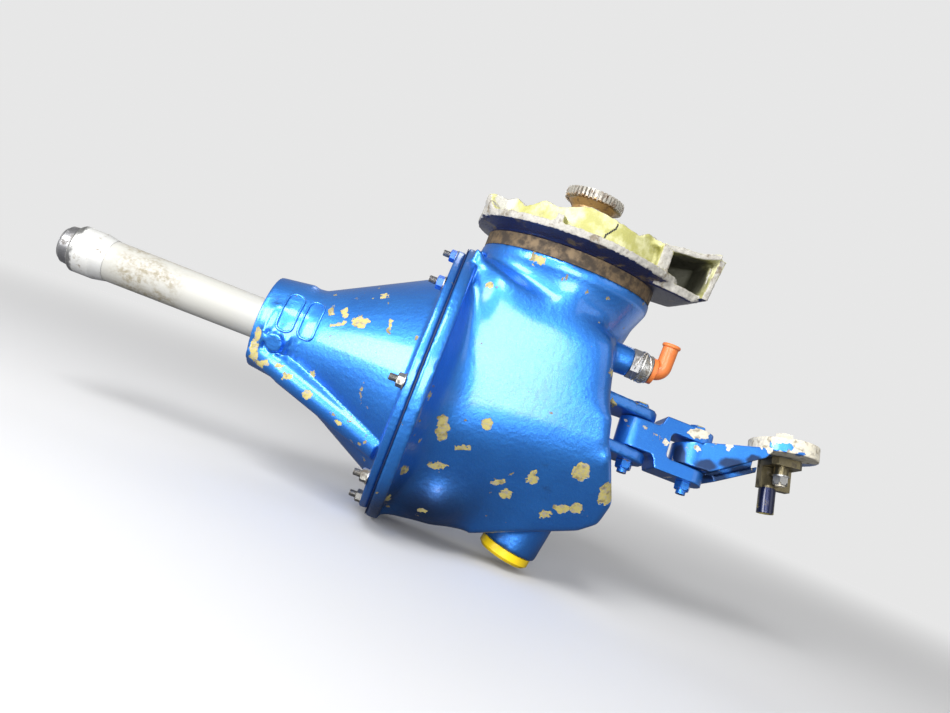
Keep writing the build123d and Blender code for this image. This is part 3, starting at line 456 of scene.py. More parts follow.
@dataclass(frozen=True)
class MetallicPaint:
    """Glossy metallic paint over primer over cast metal."""

    name: str
    colour: Colour = (0.034, 0.235, 0.76)
    shade: Colour = (0.022, 0.17, 0.62)
    flake: Colour = (0.14, 0.60, 0.98)
    primer: Colour = (0.42, 0.36, 0.12)
    metal: Colour = (0.32, 0.29, 0.23)
    # painted shade: the near black of the given dark places on the case's underside
    underside_shade: Colour = (0.010, 0.014, 0.030)
    # dirt and painted shade: the near black of the lever's recesses and its hub's end
    grime_and_shade: Colour = (0.022, 0.022, 0.030)
    haze: Colour = (0.03, 0.035, 0.05)
    dirt: Colour = (0.13, 0.10, 0.05)  # on the bare places
    specks: float = 0.735  # noise level above which a speck is bare
    edge_wear: float = 0.60  # pointiness above which an edge is bare
    roughness: float = 0.43
    peel: float = 1.0  # how strong the orange peel is

    def build(self, piece: Optional[Piece] = None, chips: Sequence[Chip] = (),
              kept: Sequence[Chip] = (), shaded_places: Places = (),
              grimed_and_shaded: Sequence[Chip] = ()) -> Material:
        """Paint with orange peel, dirty haze, painted shade at given places, chips at their places
        and worn edges.

        Args:
            piece: The finished piece, on which the chips are found.
            chips: Places where the paint is gone.
            kept: Places inside the chips where paint has stayed.
            shaded_places: Middle and half sizes of places darkened as painted shade, in metres.
            grimed_and_shaded: Places darkened as painted shade, with some dirt, found like the
                chips.

        Returns:
            The material.
        """
        shader = Shader(self.name)
        paint = shader.mix(shader.patches(0.35, 0.7, 9.0, 3.0), self.shade, self.colour)
        paint = shader.tint(paint, shader.patches(0.5, 0.75, 2600.0, 1.0), 0.3, self.flake)
        paint = shader.tint(paint, shader.patches(0.60, 0.80, 30.0, 6.0, 0.7), 0.55, self.haze)
        ragged = shader.ragged(150.0, 0.013)
        # painted shade: the given places on the underside darkened nearly to black
        if shaded_places:
            underside_shade = shader.step(shader.near(shaded_places, shader.ragged(40.0, 0.010)), 0.0, 0.9)
            paint = shader.tint(paint, underside_shade, 0.88, self.underside_shade)
        # painted shade, with some dirt: the given places darkened and their coat taken away, so no
        # highlight shows there
        dull: object = 0.0
        if grimed_and_shaded:
            dull = shader.spotted(piece, grimed_and_shaded, shader.ragged(90.0, 0.006), 0.5)
            paint = shader.tint(paint, dull, 0.85, self.grime_and_shade)
        fine, coarse = shader.noise(75.0, 5.0, 0.62), shader.noise(6.0, 2.0)
        bare = shader.step(shader.math("MULTIPLY_ADD", coarse, 0.12, fine),
                           self.specks, self.specks + 0.004)
        if chips:
            bare = shader.math("MAXIMUM", bare, shader.spotted(piece, chips, ragged))
        if kept:
            stayed = shader.spotted(piece, kept, ragged)
            bare = shader.math("MULTIPLY", bare, shader.rest_of(stayed))
        edge = shader.node("NewGeometry", {}).outputs["Pointiness"]
        edge = shader.step(edge, self.edge_wear, self.edge_wear + 0.03)
        edge = shader.math("MULTIPLY", edge, shader.patches(0.52, 0.6, 60.0))
        bare = shader.math("MAXIMUM", bare, edge)
        primer = shader.mix(shader.patches(0.48, 0.64, 320.0), self.primer, self.metal)
        primer = shader.tint(primer, shader.patches(0.5, 0.7, 150.0), 0.75, self.dirt)
        shader.set(Base_Color=shader.mix(bare, paint, primer),
                   Metallic=shader.blend(bare, 0.82, 0.05),
                   Roughness=shader.blend(bare, self.roughness, 0.72),
                   Coat_Weight=shader.math("SUBTRACT", shader.blend(bare, 0.8, 0.0), dull),
                   Coat_Roughness=0.16)
        shader.bump(shader.noise(260.0, 2.0), 0.00055, 0.6 * self.peel)
        shader.bump(shader.noise(34.0, 3.0), 0.0016, 0.35 * self.peel)
        shader.bump(shader.rest_of(bare), 0.0005, 1.0)
        return shader.material


@dataclass(frozen=True)
class PlainPaint:
    """Matt paint, stained brown in patches and scuffed."""

    name: str
    colour: Colour
    stain: Colour
    stain_at: tuple[float, float] = (0.55, 0.75)
    stretch: Point = (1.0, 1.0, 1.0)
    roughness: float = 0.42
    scale: float = 14.0
    heavy: Optional[tuple[float, float]] = None  # middle and half length in X of a dirty stretch

    def build(self) -> Material:
        """Two scales of stain, fine scratches and a soft bump."""
        shader = Shader(self.name)
        blotch = shader.noise(self.scale, 6.0, 0.65, self.stretch)
        fine = shader.noise(self.scale * 22, 3.0)
        stain = shader.step(blotch, *self.stain_at)
        if self.heavy:
            middle, half = self.heavy
            off = shader.math("SUBTRACT", shader.along(Coordinate.X), middle)
            off = shader.math("ABSOLUTE", off)
            near = shader.step(off, 1.3 * half, 0.5 * half)
            streaks = shader.noise(4 * self.scale, 6.0, 0.7, self.stretch)
            front = shader.step(shader.along(Coordinate.Y), 0.012, -0.008)
            stain = shader.math("MULTIPLY", shader.step(streaks, 0.36, 0.62), near)
            stain = shader.math("MULTIPLY", stain, front)
            stain = shader.math("MAXIMUM", stain, shader.step(blotch, 0.66, 0.8))
        stain = shader.math("MULTIPLY", stain, shader.step(fine, 0.25, 0.65))
        shader.set(Base_Color=shader.mix(stain, self.colour, self.stain),
                   Roughness=shader.blend(stain, self.roughness, 0.7),
                   Specular_IOR_Level=0.4)
        shader.bump(fine, 0.00012, 0.5)
        return shader.material


@dataclass(frozen=True)
class BareMetal:
    """Plated or bare metal with grain, dirt and light scratches."""

    name: str
    colour: Colour = (0.40, 0.40, 0.39)
    dirt: Colour = (0.10, 0.08, 0.055)
    roughness: float = 0.38
    dirt_at: tuple[float, float] = (0.52, 0.70)
    metallic: float = 0.9
    grain: float = 900.0
    other: Optional[Colour] = None  # a second colour beyond a place along an axis
    axis: Coordinate = Coordinate.Z
    change_at: tuple[float, float] = (0.0, 1.0)
    thread: Optional[Coordinate] = None  # axis along which a thread runs
    pitch: float = 0.0009  # of that thread

    def build(self) -> Material:
        """Metal whose dirt takes away the shine."""
        shader = Shader(self.name)
        grain = shader.noise(self.grain, 2.0)
        dirt = shader.patches(*self.dirt_at, 120.0, 5.0, 0.6)
        darker = tuple(0.8 * c for c in self.colour)
        tone = shader.mix(shader.step(grain, 0.3, 0.7), darker, self.colour)
        metallic = self.metallic
        if self.other:
            place = shader.math("MULTIPLY_ADD", shader.noise(160.0, 3.0), 0.008,
                                shader.along(self.axis))
            beyond = shader.step(place, *self.change_at)
            tone = shader.mix(beyond, tone, self.other)
            metallic = shader.blend(beyond, self.metallic, 0.25)
        shader.set(Base_Color=shader.mix(dirt, tone, self.dirt),
                   Metallic=shader.math("MULTIPLY", metallic, shader.rest_of(dirt)),
                   Roughness=shader.blend(dirt, self.roughness, 0.8))
        shader.bump(grain, 0.00008, 0.6)
        if self.thread is not None:
            turn = shader.math("MULTIPLY", shader.along(self.thread), 2 * math.pi / self.pitch)
            shader.bump(shader.math("SINE", turn), 0.0003, 0.9)
        return shader.material


@dataclass(frozen=True)
class SoftPart:
    """Rubber or plastic: even colour, scuffs and a faint moulded skin."""

    name: str
    colour: Colour
    scuff: Colour
    roughness: float = 0.5
    coat: float = 0.0
    grain: float = 500.0

    def build(self) -> Material:
        """A moulded skin with faint scuffs."""
        shader = Shader(self.name)
        scuff = shader.patches(0.55, 0.78, 90.0, 5.0, 0.6)
        shader.set(Base_Color=shader.mix(scuff, self.colour, self.scuff),
                   Roughness=shader.blend(scuff, self.roughness, min(1.0, self.roughness + 0.2)),
                   Coat_Weight=self.coat)
        shader.bump(shader.noise(self.grain, 2.0), 0.0001, 0.5)
        return shader.material


@dataclass(frozen=True)
class TornCasting:
    """The broken support: blue below, yellow-green primer inside, grey where it tore."""

    name: str = "torn casting"
    # the blue paint of the down-facing faces, darkened to the shade under the rim: painted shade
    blue: Colour = (0.008, 0.012, 0.050)
    primer: Colour = (0.36, 0.35, 0.11)
    pale: Colour = (0.58, 0.57, 0.33)
    fracture: Colour = (0.37, 0.355, 0.32)
    # painted shade inside the corner pocket
    pocket_shade: Colour = (0.035, 0.035, 0.03)
    dirt: Colour = (0.12, 0.10, 0.06)
    scraped: Colour = (0.46, 0.45, 0.42)
    rust: Colour = (0.15, 0.12, 0.08)
    gap: Colour = (0.02, 0.02, 0.015)  # inside the crack
    worn: Colour = (0.10, 0.075, 0.045)  # where the blue is gone

    def build(self, piece: Piece) -> Material:
        """Colours by which way the surface faces and by the torn mask stored on the mesh.

        Args:
            piece: The finished casting.

        Returns:
            The material.
        """
        shader = Shader(self.name)
        down = shader.step(shader.facing((0.0, 0.0, -1.0)), 0.25, 0.45)
        down = shader.math("MULTIPLY", down,
                           shader.step(shader.along(Coordinate.Z), 0.036, 0.030))
        mottle = shader.noise(60.0, 5.0, 0.65)
        primer = shader.mix(shader.step(mottle, 0.4, 0.68), self.primer, self.pale)
        primer = shader.tint(primer, shader.patches(0.60, 0.75, 22.0, 5.0), 0.7, self.dirt)
        scraped = shader.spotted(piece, SCRAPES, shader.ragged(90.0, 0.010), 0.3)
        primer = shader.mix(scraped, primer, self.scraped)
        # painted shade: the corner pocket darkened nearly to black
        pocket = shader.near(POCKET_SHADE, shader.ragged(60.0, 0.012))
        primer = shader.tint(primer, shader.step(pocket, 0.0, 0.3), 0.93, self.pocket_shade)
        stored = shader.node("Attribute", {}, attribute_name="torn_metal").outputs["Fac"]
        torn = shader.math("MULTIPLY_ADD", shader.noise(180.0), 0.5, stored)
        torn = shader.step(torn, 0.70, 0.84)
        grain = shader.noise(420.0, 4.0, 0.7)
        darker = tuple(0.72 * c for c in self.fracture)
        raw = shader.mix(shader.step(grain, 0.3, 0.6), darker, self.fracture)
        raw = shader.mix(shader.step(mottle, 0.54, 0.66), raw, self.rust)
        crack = shader.spotted(piece, CRACK, shader.ragged(300.0, 0.0010))
        primer = shader.mix(crack, primer, self.gap)
        worn = shader.patches(0.56, 0.62, 45.0, 5.0, 0.65)
        # down-facing faces take the blue, darkened as painted shade
        colour = shader.mix(down, primer, shader.mix(worn, self.blue, self.worn))
        colour = shader.mix(torn, colour, raw)
        shader.set(Base_Color=colour, Metallic=0.0, Roughness=shader.blend(down, 0.62, 0.4))
        shader.bump(grain, 0.0007, 0.8)
        shader.bump(mottle, 0.0009, 0.5)
        return shader.material


GEAR_CASE_SOFT = (
    Zone((-0.090, -0.120, -0.115), (0.085, -0.025, -0.004)),  # from the neck into the front
    Zone((-0.090, 0.025, -0.115), (0.085, 0.120, -0.004)),
    Zone((-0.102, -0.120, -0.275), (-0.040, -0.030, -0.004)),  # the step beside the flange
    Zone((-0.102, 0.030, -0.275), (-0.040, 0.120, -0.004)),
    Zone((-0.098, -0.115, -0.290), (-0.002, -0.025, -0.195)),  # the blister
    Zone((-0.085, -0.125, -0.190), (0.080, -0.062, -0.138)),  # the front's lower turn
)

SLEEVE_SOFT = (Zone((-0.256, -0.060, -0.156), (-0.200, -0.015, -0.088), 0.004),
               Zone((-0.256, -0.060, -0.200), (-0.222, -0.015, -0.176), 0.004))


@dataclass(frozen=True)
class CrispParts:
    """The flange, rim and boss of the gear case, which the further softening of its zones leaves
    out.
    """

    flange_x: float = -0.086  # the quill flange lies beyond this place
    flange_r: float = 0.122  # and outside this radius about the mast axis
    boss_x: float = 0.045
    boss_half: float = 0.020
    rim_z: float = -0.010

    def holds(self, spot: Vector) -> bool:
        """Whether a point is on one of them."""
        flange = (spot.x < self.flange_x
                  and math.hypot(spot.y, spot.z + AXIS_DROP) > self.flange_r)
        boss = (spot.x > self.boss_x and abs(spot.z - DETECTOR_Z) < self.boss_half
                and abs(spot.y - DETECTOR_Y) < self.boss_half)
        return flange or boss or spot.z > self.rim_z


@dataclass(frozen=True)
class Plate:
    """A flat box of the support casting's corner pocket."""

    name: str
    middle: Point
    lean: Point  # degrees about X, Y and Z
    size: Point

    def add(self) -> Piece:
        """Add the plate as a piece."""
        bpy.ops.object.select_all(action="DESELECT")
        bpy.ops.mesh.primitive_cube_add(size=1.0, location=self.middle,
                                        rotation=tuple(math.radians(angle) for angle in self.lean))
        bpy.context.object.scale = self.size
        return settle(bpy.context.object, self.name)


@dataclass(frozen=True)
class Tear:
    """Where the support casting is torn: its top edge, its skin's rim and its pocket's mouth."""

    skin_r: float = 0.089  # the skin lies outside this radius
    skin_end_x: float = 0.060
    skin_foot: tuple[float, float] = (0.086, 0.0137)  # radius and height where it begins
    skin_slope: float = 0.35
    rim_facing: float = 0.62
    rim_r: float = 0.096
    rim_z: float = 0.040
    mouth_facing: float = 0.70
    mouth_corner: Point = (0.066, -0.052, 0.020)
    top_facing: float = 0.75
    top_z: float = 0.031
    top_end_x: float = 0.070

    def lowest(self, spot: Vector) -> float:
        """The height of the skin's underside, above which every rib ends."""
        radius = math.hypot(spot.x, spot.y)
        if radius > self.skin_r and spot.x < self.skin_end_x:
            foot_r, foot_z = self.skin_foot
            return foot_z + self.skin_slope * (radius - foot_r)
        return -math.inf

    def holds(self, spot: Vector, normal: Vector) -> bool:
        """Whether the metal is torn at a point."""
        radius = math.hypot(spot.x, spot.y)
        outward = (normal.x * spot.x + normal.y * spot.y) / max(radius, 1e-6)
        mouth_x, mouth_y, mouth_z = self.mouth_corner
        rim = outward > self.rim_facing and radius > self.rim_r and spot.z < self.rim_z
        mouth = (normal.y < -self.mouth_facing
                 and spot.x > mouth_x and spot.y < mouth_y and spot.z > mouth_z)
        top = (normal.z > self.top_facing and spot.z > self.top_z
               and spot.x < self.top_end_x)
        return rim or mouth or top


CASE_CHIPS = (
    Chip("corner of the step", 443, 428, 7, 15), Chip("beside the step", 488, 424, 6, 6),
    Chip("below the corner", 437, 466, 10, 4), Chip("left of the flange line", 490, 286, 4, 2),
    Chip("neck's rim", 539, 260, 8, 4), Chip("diamond on the turn", 581, 472, 9, 10),
    Chip("small round one", 532, 477, 6, 7), Chip("lower scratch", 499, 482, 8, 2.5),
    Chip("pair, first", 505, 494, 7, 4), Chip("pair, second", 546, 514, 6, 3),
    Chip("pair, third", 562, 508, 8, 5), Chip("pair, fourth", 577, 508, 7, 5),
    Chip("large by the end wall", 607, 494, 9, 14), Chip("blister", 421, 511, 5, 3),
    Chip("upper right edge", 612, 372, 2.5, 4), Chip("middle right edge", 613, 404, 2, 6),
    Chip("foot of the flange", 404, 470, 3, 7), Chip("flange edge, low", 388, 498, 3, 5),
    Chip("end wall", 618, 460, 3, 3), Chip("fourth corner", 463, 447, 9, 2.5),
)

CONE_CHIPS = (
    Chip("top of the sleeve's foot", 359, 322, 9, 6), Chip("strip, first", 345, 313, 3, 6),
    Chip("strip, second", 341, 324, 5, 3), Chip("strip, third", 333, 311, 3, 5),
    Chip("strip, fourth", 334, 325, 4, 2.5), Chip("top edge", 385, 296, 4, 2),
    Chip("thin scratch", 390, 328, 1.5, 9), Chip("oil passage, first", 307, 394, 5, 4),
    Chip("oil passage, second", 287, 376, 5, 3), Chip("oil passage, third", 279, 365, 4, 3),
    Chip("beside the passage", 313, 374, 3, 3), Chip("passage, low", 339, 423, 4, 3),
    Chip("mouth, low", 254, 350, 5, 13), Chip("mouth, middle", 258, 335, 3, 6),
    Chip("mouth, lowest", 262, 363, 7, 4),
)

CRACK_LINE = ((618, 225), (616, 229), (611, 232), (606, 235), (604, 239), (602, 244))
CRACK = tuple(Chip("crack", x0 + (x1 - x0) * part, y0 + (y1 - y0) * part, 0.45, 0.75)
              for (x0, y0), (x1, y1) in zip(CRACK_LINE, CRACK_LINE[1:])
              for part in (0.0, 0.33, 0.67))

SCRAPES = (Chip("bare, upper left", 506, 201, 15, 12, 40),
           Chip("bare, by the peak", 556, 205, 9, 4))

# Painted shade inside the corner pocket: middle and half sizes.
POCKET_SHADE = (((0.098, -0.018, 0.036), (0.038, 0.066, 0.034)),)  # middle and half sizes

LINK_CHIPS = (
    Chip("upper ear", 699, 434, 15, 6), Chip("slot's side", 666, 443, 2, 4),
    Chip("lower edge", 668, 477, 2.5, 1.5), Chip("eye's edge", 664, 411, 3, 2),
)

LEVER_CHIPS = (
    Chip("band, middle", 729, 446, 3.5, 4.5), Chip("band, left", 697, 449, 2, 3),
    Chip("band's top edge", 722, 442, 4, 1.5), Chip("eye, near", 772, 447, 13, 12, 22),
    Chip("eye, rear", 757, 440, 13, 10, 44), Chip("eye, middle", 797, 450, 34, 24, 44),
    Chip("eye, right", 815, 458, 20, 20, 44),
)

LEVER_KEPT = (
    Chip("on the eye's rim, left", 783, 447, 12, 5), Chip("on the rim, right", 822, 457, 8, 7),
    Chip("on the rim, middle", 800, 455, 5, 1.5),
)

# Painted shade in the lever's web recess under its band; at the hub's end in the fork, dirt and
# painted shade.
LEVER_GRIME_AND_SHADE = (
    Chip("hub's end in the fork", 680, 455, 8, 20, 20), Chip("web, left", 706, 466, 17, 9, 30),
    Chip("web, middle", 731, 463, 18, 8, 30), Chip("web, right", 754, 460, 12, 7, 30),
    Chip("lower rib, left", 712, 475, 20, 7, 40), Chip("lower rib, right", 742, 470, 20, 7, 40),
)

# Painted shade on the gear case's underside and round the blister: middles and half sizes.
CASE_SHADE = (  # middles and half sizes
    ((-0.060, -0.080, -0.265), (0.120, 0.070, 0.060)),
    ((0.042, 0.000, -0.290), (0.055, 0.055, 0.050)),
)


class Finish(Enum):
    """The finishes of the CAD pieces that keep their shape."""

    SMALL_PAINT = MetallicPaint("blue hardware paint", specks=0.66)
    DARK_PAINT = MetallicPaint(
        "dark blue rod paint", colour=(0.010, 0.016, 0.075), shade=(0.006, 0.010, 0.045),
        flake=(0.015, 0.025, 0.1), specks=0.70)
    MAST_PAINT = PlainPaint(
        "mast grey paint", (0.41, 0.405, 0.375), (0.23, 0.20, 0.135), (0.50, 0.68),
        (0.45, 1.0, 1.0), heavy=(-0.377, 0.034))
    COLLAR_PAINT = BareMetal(
        "mast collar", (0.42, 0.42, 0.41), (0.20, 0.17, 0.13), 0.32, (0.58, 0.75),
        other=(0.60, 0.60, 0.58), axis=Coordinate.X, change_at=(-0.4455, -0.4425))
    CREAM = PlainPaint("cream primer", (0.60, 0.56, 0.46), (0.40, 0.34, 0.24))
    STEEL = BareMetal("plated steel")
    GEAR_STEEL = BareMetal("oiled gear steel", (0.42, 0.42, 0.43), roughness=0.28,
                           dirt_at=(0.66, 0.8))
    GREASY = BareMetal(
        "greasy coupling steel", (0.42, 0.25, 0.09), (0.10, 0.05, 0.02), 0.34, (0.50, 0.66), 0.35,
        other=(0.34, 0.32, 0.28), change_at=(0.080, 0.083))
    FLANGE_NUT = BareMetal(
        "flange nuts", (0.34, 0.33, 0.30), other=(0.012, 0.10, 0.46), change_at=(-0.100, -0.095))
    STUD_STEEL = BareMetal("threaded studs", (0.30, 0.29, 0.27), thread=Coordinate.X)
    ALLOY = BareMetal("dull alloy", (0.42, 0.42, 0.43), (0.14, 0.13, 0.12), 0.5)
    NOSE = BareMetal("mast nose metal", (0.36, 0.36, 0.37), (0.10, 0.09, 0.08), 0.36)
    BARE = BareMetal("dirty bare casting", (0.17, 0.115, 0.06), (0.04, 0.028, 0.018), 0.6,
                     (0.34, 0.62), 0.25, 160.0)
    CADMIUM = BareMetal("gold cadmium plate", (0.20, 0.17, 0.10), (0.05, 0.04, 0.025), 0.34)
    BRONZE = BareMetal("bush bronze", (0.48, 0.32, 0.16), roughness=0.4)
    GASKET = SoftPart("joint sealant", (0.008, 0.025, 0.10), (0.03, 0.05, 0.12), 0.6)
    SEAL = SoftPart("black seal rubber", (0.02, 0.02, 0.02), (0.06, 0.055, 0.05), 0.6)
    WIRE = BareMetal("bright safety wire", (0.66, 0.64, 0.60), (0.30, 0.27, 0.22), 0.3)
    ORANGE = SoftPart("orange rubber", (0.58, 0.15, 0.03), (0.36, 0.09, 0.03), 0.5, 0.15)
    YELLOW = SoftPart("yellow cap plastic", (0.86, 0.60, 0.01), (0.7, 0.46, 0.03), 0.28, 0.4)


class Palette:
    """Every finish of the gearbox, built once."""

    def __init__(self) -> None:
        """Build the materials."""
        self.materials = {finish: finish.value.build() for finish in Finish}

    def dress(self, finish: Finish, *nodes: str) -> None:
        """Give CAD nodes a finish."""
        for name in nodes:
            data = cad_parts[name].data
            data.materials.clear()
            data.materials.append(self.materials[finish])


def dress_piece(piece: Piece, material: Material, body: str,
                replaced: Sequence[str] = ()) -> None:
    """Finish a piece: material, the body it rides on and the CAD nodes it stands for.

    Args:
        piece: The finished mesh, in place.
        material: Its finish.
        body: The CAD body it moves with.
        replaced: CAD nodes that it hides.
    """
    piece.data.materials.clear()
    piece.data.materials.append(material)
    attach(piece, body)
    if replaced:
        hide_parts(*replaced)
    log.info("piece %s on %s", piece.name, body)


# Sub-assemblies


@dataclass
class Castings:
    """The gear case, the output housing and the torn support casting."""

    case_skin: Skin = Skin(0.0021, 6, 290)
    housing_skin: Skin = Skin(0.0015, 3, 60)
    solid_skin: Skin = Skin(0.0014, 0)  # of the support before it is torn
    torn_skin: Skin = Skin(0.0014)
    tear: Tear = Tear()
    crisp: CrispParts = CrispParts()
    frame_middles: tuple[float, float] = (-0.2325, -0.2115)
    frame_size: tuple[float, float] = (0.0155, 0.036)
    frame_corner: float = 0.006
    frame_front: float = -0.09  # in front of the sleeve
    frame_z: float = -0.133
    frame_bar: float = 0.0014
    peak_from: tuple[float, float] = (-0.074, 0.030)  # beyond this X and above this Z
    peak_move: Point = (-0.002, -0.003, 0.009)
    peak_reach: float = 0.016
    wall: Plate = Plate("pocket_end", (0.1215, -0.026, 0.040), (0, 6, 6), (0.0065, 0.066, 0.042))
    lid: Plate = Plate("pocket_lid", (0.089, -0.025, 0.0535), (-5, -8, 0), (0.071, 0.074, 0.006))
    lid_bend: float = 0.010
    rough_depth: float = 0.0032

    def gear_case(self) -> None:
        """Soften the gear case into a painted casting."""
        piece = self.case_skin.cast("gear_case", "gear_case_casting")
        self.case_skin.soften(piece, GEAR_CASE_SOFT, self.crisp.holds)
        # the case's paint has painted shade on its underside
        paint = MetallicPaint("blue case paint").build(piece, CASE_CHIPS, shaded_places=CASE_SHADE)
        dress_piece(piece, paint, "gearbox", ["gear_case"])

    def output_housing(self) -> None:
        """Soften the output housing, so the oil passage blends into the cone."""
        piece = self.housing_skin.cast("output_housing", "output_housing_casting")
        self.housing_skin.soften(piece, SLEEVE_SOFT)
        self.sleeve_frames(piece)
        paint = MetallicPaint("blue cone paint").build(piece, CONE_CHIPS)
        dress_piece(piece, paint, "gearbox", ["output_housing"])

    def sleeve_frames(self, housing: Piece) -> None:
        """Two raised frames of rounded bar, laid on the sleeve's surface.

        Args:
            housing: The finished output housing that they lie on.
        """
        frames = []
        for middle_x in self.frame_middles:
            bpy.ops.object.select_all(action="DESELECT")
            bpy.ops.mesh.primitive_plane_add(
                size=1.0, location=(middle_x, self.frame_front, self.frame_z),
                rotation=(math.pi / 2, 0, 0))
            loop = bpy.context.object
            loop.scale = (*self.frame_size, 1.0)
            settle(loop, "sleeve_frame")
            with editing(loop):
                bpy.ops.mesh.bevel(offset=self.frame_corner, segments=5, affect="VERTICES")
                bpy.ops.mesh.delete(type="ONLY_FACE")
                bpy.ops.mesh.select_all(action="SELECT")
                bpy.ops.mesh.subdivide(number_cuts=9)
            lay = loop.modifiers.new("lay on sleeve", "SHRINKWRAP")
            lay.wrap_method = "PROJECT"
            lay.use_project_y = True
            lay.target = housing
            apply_all(loop)
            bpy.ops.object.convert(target="CURVE")
            loop.data.bevel_depth = self.frame_bar
            loop.data.bevel_resolution = 3
            bpy.ops.object.convert(target="MESH")
            smooth_by_angle(loop, 60)
            frames.append(loop)
        piece = settle(join_into(frames[0], frames[1:]), "sleeve_frames")
        dress_piece(piece, MetallicPaint("blue frame paint").build(), "gearbox")

    def support(self) -> None:
        """Roughen the torn edges of the support casting and mark them for its paint."""
        piece = self.solid_skin.cast("support_casting", "torn_support_casting")
        self.raise_peak(piece)
        join_into(piece, [self.bent_lid(), self.wall.add()])
        self.torn_skin.lay(piece)
        self.mark_torn(piece)
        dress_piece(piece, TornCasting().build(piece), "gearbox", ["support_casting"])

    def raise_peak(self, piece: Piece) -> None:
        """Pull the torn skin up at the mast's side, where it stands highest."""
        with editing(piece):
            bpy.ops.mesh.select_mode(type="VERT")
            bpy.ops.mesh.select_all(action="DESELECT")
        peak_x, peak_z = self.peak_from
        for vertex in piece.data.vertices:
            vertex.select = vertex.co.x < peak_x and vertex.co.z > peak_z
        bpy.ops.object.mode_set(mode="EDIT")
        bpy.ops.transform.translate(value=self.peak_move, use_proportional_edit=True,
                                    proportional_edit_falloff="SMOOTH",
                                    proportional_size=self.peak_reach)
        bpy.ops.object.mode_set(mode="OBJECT")

    def bent_lid(self) -> Piece:
        """The bent plate that roofs the corner pocket."""
        lid = self.lid.add()
        with editing(lid):
            bpy.ops.mesh.subdivide(number_cuts=14)
        push_about(lid, "bent plate", 0.045, 2, self.lid_bend, texture_coords="GLOBAL",
                   direction="Z")
        return lid

    def mark_torn(self, piece: Piece) -> None:
        """Push the torn rim about and store how torn each point is as an attribute.

        Args:
            piece: The smoothed casting, whose rims are its top edge and the skin's outer edge.
        """
        mesh = piece.data
        amounts = []
        for vertex in mesh.vertices:
            lowest = self.tear.lowest(vertex.co)
            if vertex.co.z < lowest:  # no rib shows under the skin
                vertex.co.z = lowest
                amounts.append(0.0)
            else:
                amounts.append(float(self.tear.holds(vertex.co, vertex.normal)))
        group = piece.vertex_groups.new(name="torn")
        group.add([index for index, amount in enumerate(amounts) if amount], 1.0, "REPLACE")
        mesh.attributes.new("torn_metal", "FLOAT", "POINT")
        mesh.attributes["torn_metal"].data.foreach_set("value", amounts)
        push_about(piece, "torn metal", 0.006, 4, self.rough_depth, texture_coords="LOCAL",
                   vertex_group="torn")
        piece.vertex_groups.clear()

    def build(self) -> None:
        """Make all three."""
        self.gear_case()
        self.output_housing()
        self.support()


@dataclass(frozen=True)
class Hardware:
    """A group of CAD pieces that keep their shape, by finish."""

    finishes: dict[Finish, str]

    def build(self, palette: Palette) -> None:
        """Dress the pieces."""
        for finish, nodes in self.finishes.items():
            palette.dress(finish, *nodes.split())


RINGS = Hardware({Finish.BARE: "support_ring input_quill_sleeve", Finish.GASKET: "flange_gasket"})
MAST = Hardware({
    Finish.MAST_PAINT: "mast_tube", Finish.COLLAR_PAINT: "mast_collar", Finish.NOSE: "mast_nose",
    Finish.GEAR_STEEL: "output_gear gear_nut gear_spacer pitch_rod",
    Finish.STEEL: "sleeve_bearing_outer sleeve_bearing_inner sleeve_bearing_rollers "
             "hub_bearing_outer hub_bearing_inner hub_bearing_balls mast_seal_ring",
    Finish.SEAL: "mast_seal", Finish.BRONZE: "mast_bush",
})
INPUT_LINE = Hardware({
    Finish.GEAR_STEEL: "pinion_shaft input_nut input_spacer_inner input_spacer_outer",
    Finish.STEEL: "pinion_bearing_outer pinion_bearing_inner pinion_bearing_rollers "
             "input_bearing_outer input_bearing_inner input_bearing_balls coupling_snap_ring",
    Finish.SEAL: "input_seal", Finish.GREASY: "input_coupling",
})
FASTENERS = Hardware({
    Finish.STEEL: "flange_washers support_studs support_nuts", Finish.STUD_STEEL: "flange_studs",
    Finish.FLANGE_NUT: "flange_nuts",
})
LINKAGE = Hardware({
    Finish.BRONZE: "lug_bushes link_bushes lever_bush",
    Finish.SMALL_PAINT: "lug_pin lug_pin_nut fork_pin fork_pin_nut",
    Finish.STEEL: "eye_bearing eye_nut", Finish.CADMIUM: "swivel_block", Finish.CREAM: "eye_bolt",
    Finish.DARK_PAINT: "rod_stub",
})
FITTINGS = Hardware({
    Finish.ALLOY: "detector_adapter", Finish.STEEL: "detector_ring", Finish.ORANGE: "elbow_boot",
    Finish.YELLOW: "port_cap",
})


@dataclass
class Linkage:
    """The painted forgings of the linkage: idler link and control lever."""

    skin: Skin = Skin(0.0009)

    def forging(self, node: str, chips: Sequence[Chip], kept: Sequence[Chip] = (),
                grimed_and_shaded: Sequence[Chip] = ()) -> None:
        """Soften a CAD forging into a painted piece.

        Args:
            node: The CAD node, whose body has its name.
            chips: Places where the paint is gone.
            kept: Places inside them where it has stayed.
            grimed_and_shaded: Places darkened as painted shade, with some dirt.
        """
        piece = self.skin.cast(node, f"{node}_forging")
        paint = MetallicPaint(f"{node} paint", primer=(0.62, 0.58, 0.47), metal=(0.5, 0.47, 0.4),
                              peel=0.5).build(piece, chips, kept, grimed_and_shaded=grimed_and_shaded)
        dress_piece(piece, paint, node, [node])

    def build(self) -> None:
        """Make both forgings."""
        self.forging("idler_link", LINK_CHIPS)
        # the lever gets painted shade in its web recess
        self.forging("control_lever", LEVER_CHIPS, LEVER_KEPT, LEVER_GRIME_AND_SHADE)


